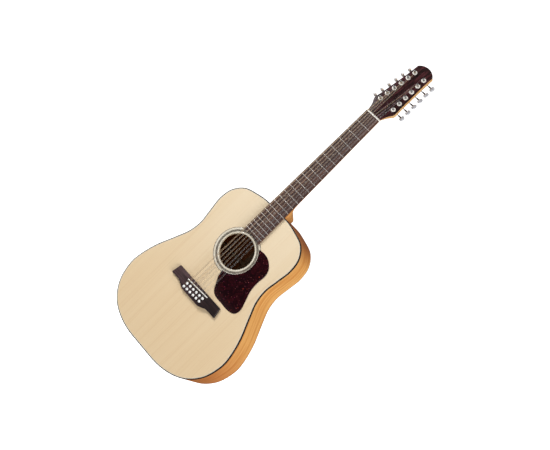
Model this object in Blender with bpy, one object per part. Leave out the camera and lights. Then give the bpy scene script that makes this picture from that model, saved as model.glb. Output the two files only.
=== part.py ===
"""Twelve-string dreadnought acoustic guitar, built as its separate pieces.

Every piece is drawn with the guitar lying on its back: X across the strings towards the treble side,
Y along the neck from the bridge end of the scale (0) to the nut (SCALE_LENGTH), Z out of the soundboard.
The empty "guitar" then stands it up to hang by its neck: the neck points to +Z, the soundboard faces -Y,
and the origin is on the centre line where the nut meets the neck.
"""
import math

import bmesh
import bpy
from mathutils import Matrix, Vector

# Driving dimensions, in metres
SCALE_LENGTH = 0.648
FRET_COUNT = 20
GAP = 0.0003

# Body. The outline's points are (half width, distance along the neck line)
NECK_END = 0.291
TAIL_END = -0.2252
NECK_FLAT_HALF = 0.036
TAIL_FLAT_HALF = 0.040
BODY_CURVE = [
    (0.0360, 0.2910),
    (0.0773, 0.2847),
    (0.1160, 0.2716),
    (0.1405, 0.2429),
    (0.1479, 0.2050),
    (0.1425, 0.1600),
    (0.1375, 0.1200),
    (0.1428, 0.0832),
    (0.1592, 0.0435),
    (0.1851, -0.0146),
    (0.1990, -0.0658),
    (0.2011, -0.0972),
    (0.1868, -0.1513),
    (0.1524, -0.1928),
    (0.1045, -0.2162),
    (0.0400, -0.2252),
]
CURVE_SEGMENTS = 29
TOP_THICKNESS = 0.0030
BACK_THICKNESS = 0.0026
SIDE_THICKNESS = 0.0024
BINDING_HEIGHT = 0.0060
BACK_BINDING_HEIGHT = 0.0024
DEPTH_AT_NECK = 0.098
DEPTH_AT_TAIL = 0.118
BACK_ARCH_ACROSS = 0.004
BACK_ARCH_ALONG = 0.003
ARCH_HALF_WIDTH = 0.200
BACK_MIDDLE_Y = 0.020
BACK_FLAT_CUT = 0.00008

# Inside the body
LINING_WIDTH = 0.0060
LINING_HEIGHT = 0.0110
LINING_TOE = 0.0025
BLOCK_HALF = 0.0325
NECK_BLOCK_LENGTH = 0.048
TAIL_BLOCK_LENGTH = 0.018
X_BRACE_CROSSING = 0.063
X_BRACE_ANGLE = math.radians(49)
X_BRACE_UPPER = 0.172
X_BRACE_LOWER = 0.238
BRACE_WIDTH = 0.008
BRACE_HEIGHT = 0.015
BRACE_TOE_HEIGHT = 0.004
BRACE_TOE_SHARE = 0.14
LIGHT_BRACE_WIDTH = 0.0072
# Tone bars: name, distance down the X-brace's leg, far end, height
TONE_BARS = [
    ("tone_bar_long", 0.150, (0.082, -0.172), 0.011),
    ("tone_bar_short", 0.195, (0.030, -0.190), 0.010),
]
UPPER_BRACE_Y = 0.206
UPPER_BRACE_REACH = 0.132
UPPER_BRACE_WIDTH = 0.012
UPPER_BRACE_HEIGHT = 0.013
BRIDGE_PLATE_THICKNESS = 0.0025
BRIDGE_PLATE_OUTLINE = [(-0.056, 0.006), (0.056, 0.006), (0.090, -0.040), (-0.090, -0.040)]
BACK_STRIP_HALF = 0.0075
BACK_STRIP_HEIGHT = 0.0025
BACK_STRIP_CLEAR = 0.006
BACK_BRACE_HEIGHT = 0.014
BACK_BRACES = [(0.236, 0.128), (0.118, 0.122), (-0.028, 0.174), (-0.142, 0.176)]

# Soundhole, pickguard
HOLE_Y = 0.1374
HOLE_RADIUS = 0.050
PICKGUARD_THICKNESS = 0.0015
PICKGUARD_HOLE_RADIUS = 0.0625
PICKGUARD_CURVE = [
    (0.0430, 0.1845),
    (0.0620, 0.1868),
    (0.0800, 0.1832),
    (0.0995, 0.1690),
    (0.1075, 0.1500),
    (0.1060, 0.1200),
    (0.1087, 0.0920),
    (0.1187, 0.0635),
    (0.1268, 0.0372),
    (0.1208, 0.0202),
    (0.1040, 0.0134),
    (0.0730, 0.0134),
    (0.0480, 0.0146),
    (0.0345, 0.0215),
    (0.0225, 0.0400),
    (0.0115, 0.0585),
]

# Bridge, saddle and pins
BRIDGE_FRONT = 0.0020
BRIDGE_HALF_FRONT = 0.0850
BRIDGE_HALF_BACK = 0.0905
BRIDGE_WIDTH_END = 0.0295
BRIDGE_WIDTH_BELLY = 0.0400
BRIDGE_HEIGHT = 0.0095
BRIDGE_WING_HEIGHT = 0.0065
BRIDGE_EDGE = 0.0012
BELLY_FROM = 0.34
BELLY_TO = 0.68
WING_FROM = 0.52
WING_TO = 0.82
SADDLE_Y = -0.0055
SADDLE_SLANT = 0.055
SADDLE_HALF = 0.0385
SADDLE_THICKNESS = 0.0030
SADDLE_TOP = 0.0125
SADDLE_CROWN = 0.0008
SADDLE_SEAT = 0.0055
SADDLE_FRONT_FALL = 0.0004
SADDLE_BACK_FALL = 0.0012
PIN_SPACING = 0.0124
PIN_FRONT_ROW = -0.0158
PIN_BACK_ROW = -0.0274
PIN_BACK_ROW_SHIFT = -0.0015
PIN_HOLE_RADIUS = 0.0026

# Neck and fretboard
NUT_WIDTH = 0.0476
FRETBOARD_FLARE = 0.0210
FRETBOARD_THICKNESS = 0.0062
FRETBOARD_CAMBER_RADIUS = 0.400
FRETBOARD_END_RADIUS = 0.062
FRET_SLOT_WIDTH = 0.0006
FRET_SLOT_DEPTH = 0.0015
NECK_DEPTH_NUT = 0.0150
NECK_DEPTH_HEEL = 0.0175
NECK_STATIONS = (0.640, 0.600, 0.500, 0.400, 0.356)
HEEL_START = 0.346
HEEL_DEPTH = 0.101
# The heel's keel, from the shaft to its flat cap: (place along the neck, depth)
HEEL_CURVE = [
    (0.3460, 0.0175),
    (0.3345, 0.0215),
    (0.3250, 0.0330),
    (0.3180, 0.0500),
    (0.3115, 0.0690),
    (0.3055, 0.0865),
    (0.3015, 0.0965),
    (0.2990, 0.1010),
]
TENON_HALF = 0.012
TENON_END = 0.276
TENON_TOP = -0.0068
TENON_BOTTOM = -0.080
NUT_THICKNESS = 0.0044
NUT_HEIGHT = 0.0080
NUT_BACK_FALL = 0.0015
ROD_DEPTH = -0.0090
ROD_RADIUS = 0.0022
ROD_HEAD_RADIUS = 0.0032
ROD_NUT_END = 0.225
ROD_FAR_END = 0.636
CHANNEL_HALF = 0.0030
CHANNEL_DEPTH = -0.0120

# Headstock. Its edge points are (half width, distance from the nut)
HEADSTOCK_TILT = math.radians(12.5)
HEADSTOCK_START = 0.653
HEADSTOCK_DEPTH = 0.0150
HEADSTOCK_SQUARE_FROM = 0.002
HEADSTOCK_SQUARE_OVER = 0.036
VENEER_THICKNESS = 0.0018
HEADSTOCK_EDGE = [
    (0.0236, 0.0005),
    (0.0264, 0.0120),
    (0.0294, 0.0200),
    (0.0341, 0.0280),
    (0.0374, 0.0335),
    (0.0386, 0.0390),
    (0.0381, 0.0450),
    (0.0361, 0.0600),
    (0.0327, 0.1000),
    (0.0289, 0.1480),
    (0.0277, 0.1860),
]
HEADSTOCK_TIP = 0.1992

# Tuning machines: six on a plate on each side
TUNER_FIRST = 0.0454
TUNER_STEP = 0.0237
POST_OFFSET_FIRST = 0.0248
POST_OFFSET_LAST = 0.0170
POST_RADIUS = 0.0030
POST_WAIST = 0.0026
# The post's string groove, as heights above the headstock's face
POST_SHOULDER = 0.0032
POST_GROOVE_LOW = 0.0049
POST_GROOVE_HIGH = 0.0086
POST_CROWN = 0.0103
POST_HEIGHT = 0.0115
POST_HOLE_RADIUS = 0.0035
POST_FOOT_RADIUS = 0.0020
POST_FOOT_LENGTH = 0.0012
GEAR_RADIUS = 0.0035
WORM_RADIUS = 0.0015
WORM_HALF_LENGTH = 0.0050
SHAFT_RADIUS = 0.0012
SHAFT_INNER_END = 0.0085
PLATE_BACK = 0.0012
PLATE_INNER = 0.0100
PLATE_OUTER = 0.0098
PLATE_LOWER = 0.0085
PLATE_UPPER = 0.0130
WORM_DEPTH = 0.0032
WORM_OFFSET = GEAR_RADIUS + WORM_RADIUS + GAP
# Two bearing lugs for each worm shaft
LUG_PLACES = (-0.0070, 0.0072)
LUG_HALF_THICKNESS = 0.0010
LUG_HALF_LENGTH = 0.0026
LUG_BELOW_SHAFT = 0.0024
LUG_OVERLAP = 0.0004
BUTTON_REACH_FIRST = 0.0330
BUTTON_REACH_LAST = 0.0322
BUTTON_LENGTH = 0.0118
BUTTON_HALF_WIDTH = 0.0080
BUTTON_HALF_THICKNESS = 0.0033

# Strings, six courses of two from bass to treble: (octave or first radius, second radius)
COURSE_RADII = [
    (0.00034, 0.00060),
    (0.00024, 0.00050),
    (0.00018, 0.00038),
    (0.00018, 0.00029),
    (0.00018, 0.00018),
    (0.00018, 0.00018),
]
COURSE_SPACING_NUT = 0.00775
COURSE_SPACING_SADDLE = 0.0116
PAIR_GAP_NUT = 0.0020
PAIR_GAP_SADDLE = 0.0030
WINDING_HEIGHT = 0.0060
WOUND_FROM = 0.00027
STRING_BALL_DEPTH = -0.0090
STRING_EXIT_SHIFT = -0.0002
STRING_EXIT_CLEAR = 0.0004
STRING_BEND = 0.0006
STRING_PASS_SHIFT = -0.0043
STRING_PASS_HEIGHT = 0.0016
SADDLE_STRING_SHIFT = -0.0010
NUT_STRING_START = 0.0006

SPRUCE = ((0.80, 0.62, 0.38), 0.45, 0.0)
MAHOGANY = ((0.60, 0.30, 0.11), 0.40, 0.0)
ROSEWOOD = ((0.07, 0.035, 0.030), 0.50, 0.0)
PALE_WOOD = ((0.72, 0.53, 0.33), 0.60, 0.0)
DARK_BINDING = ((0.10, 0.03, 0.02), 0.35, 0.0)
TORTOISE = ((0.07, 0.008, 0.015), 0.15, 0.0)
BONE = ((0.90, 0.87, 0.78), 0.35, 0.0)
CHROME = ((0.75, 0.75, 0.77), 0.15, 1.0)
STEEL = ((0.45, 0.45, 0.47), 0.35, 1.0)
BRONZE = ((0.55, 0.38, 0.20), 0.35, 1.0)


def clear_scene():
    for item in list(bpy.data.objects):
        bpy.data.objects.remove(item, do_unlink=True)


def material(name, finish):
    colour, roughness, metallic = finish
    made = bpy.data.materials.new(name)
    made.use_nodes = True
    shader = made.node_tree.nodes["Principled BSDF"]
    shader.inputs["Base Color"].default_value = (*colour, 1.0)
    shader.inputs["Roughness"].default_value = roughness
    shader.inputs["Metallic"].default_value = metallic
    return made


def empty(name, parent=None, location=(0, 0, 0), rotation=(0, 0, 0)):
    frame = bpy.data.objects.new(name, None)
    bpy.context.collection.objects.link(frame)
    frame.parent = parent
    frame.location = location
    frame.rotation_euler = rotation
    return frame


def sweep(sections, closed=False):
    """Vertices and faces of a skin over equal rings, with flat ends unless it closes on itself."""
    count = len(sections[0])
    vertices = [point for ring in sections for point in ring]
    faces = []
    spans = len(sections) if closed else len(sections) - 1
    for span in range(spans):
        here = span * count
        there = (span + 1) % len(sections) * count
        for index in range(count):
            after = (index + 1) % count
            faces.append((here + index, here + after, there + after, there + index))
    if not closed:
        faces.append(tuple(range(count)))
        faces.append(tuple(range(len(vertices) - count, len(vertices))))
    return vertices, faces


def add(name, shape, finish, parent, location=(0, 0, 0), rotation=(0, 0, 0), smooth_angle=35):
    """Make one named object from vertices and faces, with faces turned outwards."""
    mesh = bpy.data.meshes.new(name)
    mesh.from_pydata([tuple(point) for point in shape[0]], [], shape[1])
    work = bmesh.new()
    work.from_mesh(mesh)
    bmesh.ops.recalc_face_normals(work, faces=work.faces)
    work.to_mesh(mesh)
    work.free()
    mesh.shade_smooth()
    mesh.set_sharp_from_angle(angle=math.radians(smooth_angle))
    piece = bpy.data.objects.new(name, mesh)
    bpy.context.collection.objects.link(piece)
    piece.parent = parent
    piece.location = location
    piece.rotation_euler = rotation
    if finish:
        mesh.materials.append(material(name, finish))
    return piece


def joined(shapes):
    """Several shapes as one list of vertices and faces, for a cutter or a guide."""
    vertices = []
    faces = []
    for points, sides in shapes:
        start = len(vertices)
        vertices += points
        faces += [tuple(start + index for index in side) for side in sides]
    return vertices, faces


def guide(name, shape, parent):
    """A hidden shape that only cuts or builds up another one."""
    tool = add(name, shape, None, parent)
    tool.hide_render = True
    tool.display_type = "WIRE"
    return tool


def boolean(piece, tool, operation):
    change = piece.modifiers.new(operation.lower(), "BOOLEAN")
    change.operation = operation
    change.solver = "EXACT"
    change.object = tool


def box(low, high):
    x0, y0, z0 = low
    x1, y1, z1 = high
    return sweep([[(x0, y0, z), (x1, y0, z), (x1, y1, z), (x0, y1, z)] for z in (z0, z1)])


def cylinder(x, y, radius, low, high, sides):
    rings = []
    for z in (low, high):
        turns = [math.tau * (index + 0.5) / sides for index in range(sides)]
        rings.append([(x + radius * math.cos(a), y + radius * math.sin(a), z) for a in turns])
    return sweep(rings)


def plate(outline, low, high):
    """A flat plate: an outline in X and Y between two heights."""
    return sweep([[(x, y, z) for x, y in outline] for z in (low, high)])


def catmull_rom(points, steps):
    """A centripetal curve through all but the first and last of the points."""
    made = []
    for before, start, end, after in zip(points, points[1:], points[2:], points[3:]):
        corners = [Vector(p) for p in (before, start, end, after)]
        knots = [0.0]
        for a, b in zip(corners, corners[1:]):
            knots.append(knots[-1] + (b - a).length ** 0.5)
        for step in range(steps):
            t = knots[1] + (knots[2] - knots[1]) * step / steps
            level = corners
            for depth in (1, 2, 3):
                level = [
                    level[i].lerp(level[i + 1], (t - knots[i + lo]) / (knots[i + hi] - knots[i + lo]))
                    for i, (lo, hi) in enumerate(blend_spans(depth))
                ]
            made.append(level[0])
    made.append(Vector(points[-2]))
    return made


def blend_spans(depth):
    """Knot offsets used at each stage of the curve's pyramid of blends."""
    if depth == 1:
        return [(0, 1), (0, 1), (0, 1)]
    if depth == 2:
        return [(0, 2), (0, 2)]
    return [(1, 2)]


def evenly(points, count):
    """The same line cut into equal lengths."""
    lengths = [0.0]
    for a, b in zip(points, points[1:]):
        lengths.append(lengths[-1] + (b - a).length)
    made = []
    span = 0
    for index in range(count + 1):
        target = lengths[-1] * index / count
        while span < len(points) - 2 and lengths[span + 1] < target:
            span += 1
        share = (target - lengths[span]) / (lengths[span + 1] - lengths[span])
        made.append(points[span].lerp(points[span + 1], share))
    return made


def body_half():
    """The treble half of the body's outline, from the neck's centre to the tail's centre."""
    lead_in = (2 * NECK_FLAT_HALF - BODY_CURVE[1][0], BODY_CURVE[1][1])
    lead_out = (2 * TAIL_FLAT_HALF - BODY_CURVE[-2][0], BODY_CURVE[-2][1])
    curve = catmull_rom([lead_in] + BODY_CURVE + [lead_out], 12)
    return [Vector((0.0, NECK_END))] + evenly(curve, CURVE_SEGMENTS) + [Vector((0.0, TAIL_END))]


def inset(line, distance, closed=True):
    """A line moved to its inner side by a distance, square to each stretch."""
    made = []
    last = len(line) - 1
    for index, point in enumerate(line):
        ahead = line[(index + 1) % len(line)] if closed or index < last else None
        behind = line[index - 1] if closed or index > 0 else None
        normals = []
        for a, b in ((behind, point), (point, ahead)):
            if a is not None and b is not None:
                run = (b - a).normalized()
                normals.append(Vector((-run.y, run.x)))
        mean = sum(normals, Vector((0.0, 0.0))) / len(normals)
        made.append(point - mean * distance / mean.length_squared)
    return made


def body_outline():
    """The whole outline, clockwise seen from the front, starting at the neck's centre."""
    half = body_half()
    other = [Vector((-point.x, point.y)) for point in reversed(half[1:-1])]
    return half + other


def back_depth(x, y):
    """Depth of the back's outer face below the soundboard's front face: it tapers and it is arched."""
    share = (NECK_END - y) / (NECK_END - TAIL_END)
    taper = DEPTH_AT_NECK + (DEPTH_AT_TAIL - DEPTH_AT_NECK) * share
    along = BACK_ARCH_ALONG * 4.0 * share * (1.0 - share)
    across = BACK_ARCH_ACROSS * (1.0 - (x / ARCH_HALF_WIDTH) ** 2)
    return taper + along + across


def fret_y(number):
    return SCALE_LENGTH * 2.0 ** (-number / 12.0)


def fretboard_half(y):
    return 0.5 * (NUT_WIDTH + FRETBOARD_FLARE * (1.0 - y / SCALE_LENGTH))


def wall_ring(outer, inner, heights):
    """Sections of an upright wall between two matching lines; heights gives (top, bottom) at a point."""
    rings = []
    for a, b in zip(outer, inner):
        top, bottom = heights(a.x, a.y)
        rings.append([(a.x, a.y, top), (b.x, b.y, top), (b.x, b.y, bottom), (a.x, a.y, bottom)])
    return rings


def bar(start, end, width, glue, height):
    """A brace from start to end with thinned toes; glue gives the height of its glued face."""
    a = Vector(start)
    b = Vector(end)
    side = Vector((a.y - b.y, b.x - a.x)).normalized() * width / 2
    toe = BRACE_TOE_HEIGHT
    from_toe = BRACE_TOE_SHARE
    rings = []
    for share, tall in ((0.0, toe), (from_toe, height), (0.5, height), (1.0 - from_toe, height), (1.0, toe)):
        here = a.lerp(b, share)
        base = glue(here.x, here.y)
        rise = math.copysign(tall, height)
        left = here + side
        right = here - side
        rings.append([
            (left.x, left.y, base),
            (right.x, right.y, base),
            (right.x, right.y, base + rise),
            (left.x, left.y, base + rise),
        ])
    return sweep(rings)


def make_body(guitar):
    outline = body_outline()
    inner = inset(outline, SIDE_THICKNESS)
    board = inset(outline, SIDE_THICKNESS + GAP)

    top = add("soundboard", plate(board, -TOP_THICKNESS, 0.0), SPRUCE, guitar)
    hole = guide("soundhole_cutter", cylinder(0, HOLE_Y, HOLE_RADIUS, -0.02, 0.02, 40), guitar)
    boolean(top, hole, "DIFFERENCE")
    boolean(top, bpy.data.objects["pin_hole_cutter"], "DIFFERENCE")

    add("back_plate", back_shape(board), MAHOGANY, guitar)
    make_sides(guitar)

    def top_band(x, y):
        return 0.0, -BINDING_HEIGHT

    def back_band(x, y):
        return BACK_BINDING_HEIGHT - back_depth(x, y), -back_depth(x, y)

    add("binding_top", sweep(wall_ring(outline, inner, top_band), closed=True), DARK_BINDING, guitar)
    add("binding_back", sweep(wall_ring(outline, inner, back_band), closed=True), DARK_BINDING, guitar)


def back_shape(board):
    """The arched back plate: rings shrunk towards its middle, inner face first, then outer face."""
    middle = Vector((0.0, BACK_MIDDLE_Y))
    shares = (0.15, 0.45, 0.75, 1.0)
    rings = []
    for lift, order in ((BACK_THICKNESS, shares), (0.0, shares[::-1])):
        for share in order:
            points = [middle.lerp(point, share) for point in board]
            depth = flat_middle_depth if share == shares[0] else back_depth
            rings.append([(p.x, p.y, lift - depth(p.x, p.y)) for p in points])
    return sweep(rings)


def flat_middle_depth(x, y):
    """The plane that the middle of the back is finished to, a hair under the top of the arch."""
    step = 0.001
    rise = back_depth(0, BACK_MIDDLE_Y + step) - back_depth(0, BACK_MIDDLE_Y - step)
    return back_depth(0, BACK_MIDDLE_Y) - BACK_FLAT_CUT + rise / (2 * step) * (y - BACK_MIDDLE_Y)


def make_sides(guitar):
    half = body_half()
    half[0].x = TENON_HALF + GAP
    half[-1].x = GAP / 2
    inner = inset(half, SIDE_THICKNESS, closed=False)

    def heights(x, y):
        return -BINDING_HEIGHT - GAP, BACK_BINDING_HEIGHT + GAP - back_depth(x, y)

    for name, sign in (("side_treble", 1), ("side_bass", -1)):
        rings = wall_ring(half, inner, heights)
        mirrored = [[(sign * x, y, z) for x, y, z in ring] for ring in rings]
        add(name, sweep(mirrored), MAHOGANY, guitar)


def lining_line(distance):
    """The outline moved inwards, from one side of the neck block round the tail to the other side."""
    loop = inset(body_outline(), distance)
    line = [point.copy() for point in loop[1:]]
    start = BLOCK_HALF + GAP
    line[0].x = start
    line[-1].x = -start
    return line


def make_linings(guitar):
    outer = lining_line(SIDE_THICKNESS + GAP)
    inner = lining_line(SIDE_THICKNESS + GAP + LINING_WIDTH)
    toe = lining_line(SIDE_THICKNESS + GAP + LINING_TOE)
    top_rings = []
    back_rings = []
    top = -TOP_THICKNESS - GAP
    for a, b, c in zip(outer, inner, toe):
        top_rings.append([
            (a.x, a.y, top),
            (b.x, b.y, top),
            (c.x, c.y, top - LINING_HEIGHT),
            (a.x, a.y, top - LINING_HEIGHT),
        ])
        clear = BACK_THICKNESS + GAP
        back_rings.append([
            (a.x, a.y, clear - back_depth(a.x, a.y)),
            (b.x, b.y, clear - back_depth(b.x, b.y)),
            (c.x, c.y, clear + LINING_HEIGHT - back_depth(c.x, c.y)),
            (a.x, a.y, clear + LINING_HEIGHT - back_depth(a.x, a.y)),
        ])
    add("lining_top", sweep(top_rings), PALE_WOOD, guitar)
    add("lining_back", sweep(back_rings), PALE_WOOD, guitar)


def make_blocks(guitar):
    """The neck block, a U open to the neck's tenon, and the tail block, let in round the linings."""
    rim = NECK_END - SIDE_THICKNESS - GAP
    far = rim - NECK_BLOCK_LENGTH
    mortise_half = TENON_HALF + GAP
    mortise_end = TENON_END - GAP
    outline = [
        (-BLOCK_HALF, rim),
        (-BLOCK_HALF, far),
        (BLOCK_HALF, far),
        (BLOCK_HALF, rim),
        (mortise_half, rim),
        (mortise_half, mortise_end),
        (-mortise_half, mortise_end),
        (-mortise_half, rim),
    ]
    top = -TOP_THICKNESS - GAP
    lift = BACK_THICKNESS + GAP
    lower = [(x, y, lift - back_depth(BLOCK_HALF, y)) for x, y in outline]
    upper = [(x, y, top) for x, y in outline]
    block = add("neck_block", sweep([upper, lower]), PALE_WOOD, guitar)
    low = (-CHANNEL_HALF - GAP, far - 0.01, CHANNEL_DEPTH)
    high = (CHANNEL_HALF + GAP, mortise_end + 0.005, 0.01)
    boolean(block, guide("rod_way_cutter", box(low, high), guitar), "DIFFERENCE")

    rim = TAIL_END + SIDE_THICKNESS + GAP
    notch = rim + LINING_WIDTH + GAP
    far = rim + TAIL_BLOCK_LENGTH
    step = LINING_HEIGHT + GAP
    rings = []
    for x in (-BLOCK_HALF, 0.0, BLOCK_HALF):
        rings.append([
            (x, far, top),
            (x, notch, top),
            (x, notch, top - step),
            (x, rim, top - step),
            (x, rim, lift + step - back_depth(x, rim)),
            (x, notch, lift + step - back_depth(x, notch)),
            (x, notch, lift - back_depth(x, notch)),
            (x, far, lift - back_depth(x, far)),
        ])
    add("tail_block", sweep(rings), PALE_WOOD, guitar)


def make_braces(guitar):
    def under_top(x, y):
        return -TOP_THICKNESS - GAP

    def arm(turn, reach):
        along = Vector((math.sin(turn), math.cos(turn))) * reach
        return (along.x, X_BRACE_CROSSING + along.y)

    leg_ends = []
    for sign in (1, -1):
        upper = arm(sign * X_BRACE_ANGLE, X_BRACE_UPPER)
        lower = arm(sign * X_BRACE_ANGLE, -X_BRACE_LOWER)
        leg_ends.append((upper, lower))
    first = bar(*leg_ends[0], BRACE_WIDTH, under_top, -BRACE_HEIGHT)
    brace = add("x_brace", first, SPRUCE, guitar)
    others = [("x_brace_leg", *leg_ends[1], BRACE_HEIGHT)]
    others += [(name, arm(X_BRACE_ANGLE, -down), end, height) for name, down, end, height in TONE_BARS]
    for name, start, end, height in others:
        shape = bar(start, end, LIGHT_BRACE_WIDTH, under_top, -height)
        boolean(brace, guide(name, shape, guitar), "UNION")

    ends = [(sign * UPPER_BRACE_REACH, UPPER_BRACE_Y) for sign in (-1, 1)]
    upper = bar(*ends, UPPER_BRACE_WIDTH, under_top, -UPPER_BRACE_HEIGHT)
    add("upper_brace", upper, SPRUCE, guitar)

    high = -TOP_THICKNESS - GAP
    plate_shape = plate(BRIDGE_PLATE_OUTLINE, high - BRIDGE_PLATE_THICKNESS, high)
    bridge_plate = add("bridge_plate", plate_shape, PALE_WOOD, guitar)
    boolean(bridge_plate, bpy.data.objects["pin_hole_cutter"], "DIFFERENCE")

    make_back_bracing(guitar)


def make_back_bracing(guitar):
    """The centre strip along the back's joint with its four cross braces, glued up as one frame."""
    half_strip = BACK_STRIP_HALF
    rings = []
    strip_from = NECK_END - NECK_BLOCK_LENGTH - BACK_STRIP_CLEAR
    strip_to = TAIL_END + TAIL_BLOCK_LENGTH + BACK_STRIP_CLEAR
    for step in range(9):
        y = strip_from + (strip_to - strip_from) * step / 8
        inside = BACK_THICKNESS + GAP - back_depth(0, y)
        rings.append([
            (-half_strip, y, inside),
            (half_strip, y, inside),
            (half_strip, y, inside + BACK_STRIP_HEIGHT),
            (-half_strip, y, inside + BACK_STRIP_HEIGHT),
        ])
    frame = add("back_bracing", sweep(rings), SPRUCE, guitar)

    def above_back(x, y):
        return BACK_THICKNESS + 2 * GAP - back_depth(x, y)

    for number, (y, reach) in enumerate(BACK_BRACES, 1):
        shape = bar((-reach, y), (reach, y), BRACE_WIDTH, above_back, BACK_BRACE_HEIGHT)
        boolean(frame, guide(f"back_brace_{number}", shape, guitar), "UNION")


def pin_places():
    """Centres of the twelve bridge pins as (course, row, x, y); row 0 is nearer the saddle."""
    places = []
    for course in range(6):
        x = (course - 2.5) * PIN_SPACING
        for row, (y, shift) in enumerate(((PIN_FRONT_ROW, 0.0), (PIN_BACK_ROW, PIN_BACK_ROW_SHIFT))):
            places.append((course, row, x + shift, y + SADDLE_SLANT * x))
    return places


def make_pin_hole_cutter(guitar):
    holes = [cylinder(x, y, PIN_HOLE_RADIUS, -0.02, 0.02, 8) for _, _, x, y in pin_places()]
    guide("pin_hole_cutter", joined(holes), guitar)


def eased(value, low, high):
    """How far a value is from low to high, from 0 to 1, with soft ends."""
    share = min(1.0, max(0.0, (value - low) / (high - low)))
    return 0.5 - 0.5 * math.cos(math.pi * share)


def bridge_station(share):
    """One cross-section of the bridge; share runs from -1 at the bass end to 1 at the treble end."""
    reach = abs(share)
    straight = eased(reach, BELLY_FROM, BELLY_TO)
    wing = eased(reach, WING_FROM, WING_TO)
    width = BRIDGE_WIDTH_BELLY + (BRIDGE_WIDTH_END - BRIDGE_WIDTH_BELLY) * straight
    height = BRIDGE_HEIGHT + (BRIDGE_WING_HEIGHT - BRIDGE_HEIGHT) * wing
    front = share * BRIDGE_HALF_FRONT
    back = share * BRIDGE_HALF_BACK
    edge = BRIDGE_EDGE
    y = BRIDGE_FRONT
    return [
        (front, y, GAP),
        (front, y, height - edge),
        (front, y - edge, height),
        (back, y - width + edge, height),
        (back, y - width, height - edge),
        (back, y - width, GAP),
    ]


def make_bridge(guitar):
    shares = [-1.0, -0.9, -0.8, -0.7, -0.62, -0.54, -0.46, -0.38, -0.2, 0.0]
    shares += [-share for share in reversed(shares[:-1])]
    bridge = add("bridge", sweep([bridge_station(share) for share in shares]), ROSEWOOD, guitar)
    boolean(bridge, bpy.data.objects["pin_hole_cutter"], "DIFFERENCE")
    slot = saddle_shape(SADDLE_HALF + GAP, SADDLE_THICKNESS / 2 + GAP, SADDLE_SEAT - GAP, 0.02, 0.02)
    boolean(bridge, guide("saddle_slot_cutter", slot, guitar), "DIFFERENCE")
    saddle = saddle_shape(SADDLE_HALF, SADDLE_THICKNESS / 2, SADDLE_SEAT, SADDLE_TOP - SADDLE_CROWN, SADDLE_TOP)
    add("saddle", saddle, BONE, guitar)


def saddle_shape(half, half_thickness, low, end_top, middle_top):
    """A blade along the slanted saddle line, with its top a little higher in the middle."""
    rings = []
    for share in (-1.0, -0.5, 0.0, 0.5, 1.0):
        x = share * half
        y = SADDLE_Y + SADDLE_SLANT * x
        top = middle_top + (end_top - middle_top) * share * share
        rings.append([
            (x, y - half_thickness, low),
            (x, y + half_thickness, low),
            (x, y + half_thickness, top - SADDLE_FRONT_FALL),
            (x, y, top),
            (x, y - half_thickness, top - SADDLE_BACK_FALL),
        ])
    return sweep(rings)


def make_pickguard(guitar):
    """A thin sheet with a free outer curve and an arc that follows the soundhole's rings."""
    lead = [PICKGUARD_CURVE[1]] + PICKGUARD_CURVE + [PICKGUARD_CURVE[-2]]
    outer = evenly(catmull_rom(lead, 8), 40)
    centre = Vector((0.0, HOLE_Y))
    start = outer[-1] - centre
    end = outer[0] - centre
    turn_start = math.atan2(start.y, start.x)
    turn_end = math.atan2(end.y, end.x)
    arc = []
    steps = 14
    for step in range(steps + 1):
        turn = turn_start + (turn_end - turn_start) * step / steps
        arc.append(centre + Vector((math.cos(turn), math.sin(turn))) * PICKGUARD_HOLE_RADIUS)
    sheet = plate(outer[1:-1] + arc, GAP, GAP + PICKGUARD_THICKNESS)
    add("pickguard", sheet, TORTOISE, guitar)


def make_fretboard(guitar):
    """The cambered fretboard with its fret slots, its far end cut to the curve round the soundhole."""
    stations = [(SCALE_LENGTH, 0.0)]
    for number in range(1, FRET_COUNT + 1):
        y = fret_y(number)
        for shift, depth in ((1, 0.0), (1, FRET_SLOT_DEPTH), (-1, FRET_SLOT_DEPTH), (-1, 0.0)):
            stations.append((y + shift * FRET_SLOT_WIDTH / 2, depth))
    shares = (-1.0, -0.5, 0.0, 0.5, 1.0)
    rings = [fretboard_ring([y] * len(shares), shares, depth) for y, depth in stations]
    half = fretboard_half(fret_y(FRET_COUNT))
    ends = []
    for share in shares:
        ends.append(HOLE_Y + math.sqrt(FRETBOARD_END_RADIUS**2 - (share * half) ** 2))
    rings.append(fretboard_ring(ends, shares, 0.0))
    add("fretboard", sweep(rings), ROSEWOOD, guitar)


def fretboard_ring(places, shares, slot):
    low = []
    high = []
    for y, share in zip(places, shares):
        x = share * fretboard_half(y)
        camber = x * x / (2 * FRETBOARD_CAMBER_RADIUS)
        low.append((x, y, GAP))
        high.append((x, y, GAP + FRETBOARD_THICKNESS - camber - slot))
    return low + high[::-1]


def round_profile(count):
    """Half of a rounded neck section from its edge to its keel, as (width share, depth share)."""
    turns = [math.pi / 2 * index / count for index in range(count + 1)]
    return [(math.cos(a), math.sin(a)) for a in turns]


BOX_PROFILE = [(1.0, 0.0), (1.0, 0.45), (1.0, 0.90), (0.95, 1.0), (0.6, 1.0), (0.3, 1.0), (0.0, 1.0)]
HEEL_PROFILE = [(1.0, 0.0), (0.97, 0.2), (0.84, 0.45), (0.64, 0.75), (0.46, 1.0), (0.22, 1.0), (0.0, 1.0)]


def neck_ring(half, depth, profile, place):
    """One neck section from its bass edge under the neck to its treble edge."""
    treble = [place(half * across, -depth * down) for across, down in profile]
    bass = [place(-half * across, -depth * down) for across, down in profile[:-1]]
    return bass + treble[::-1]


def mixed(first, second, share):
    return [
        (a[0] + (b[0] - a[0]) * share, a[1] + (b[1] - a[1]) * share)
        for a, b in zip(first, second)
    ]


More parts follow.
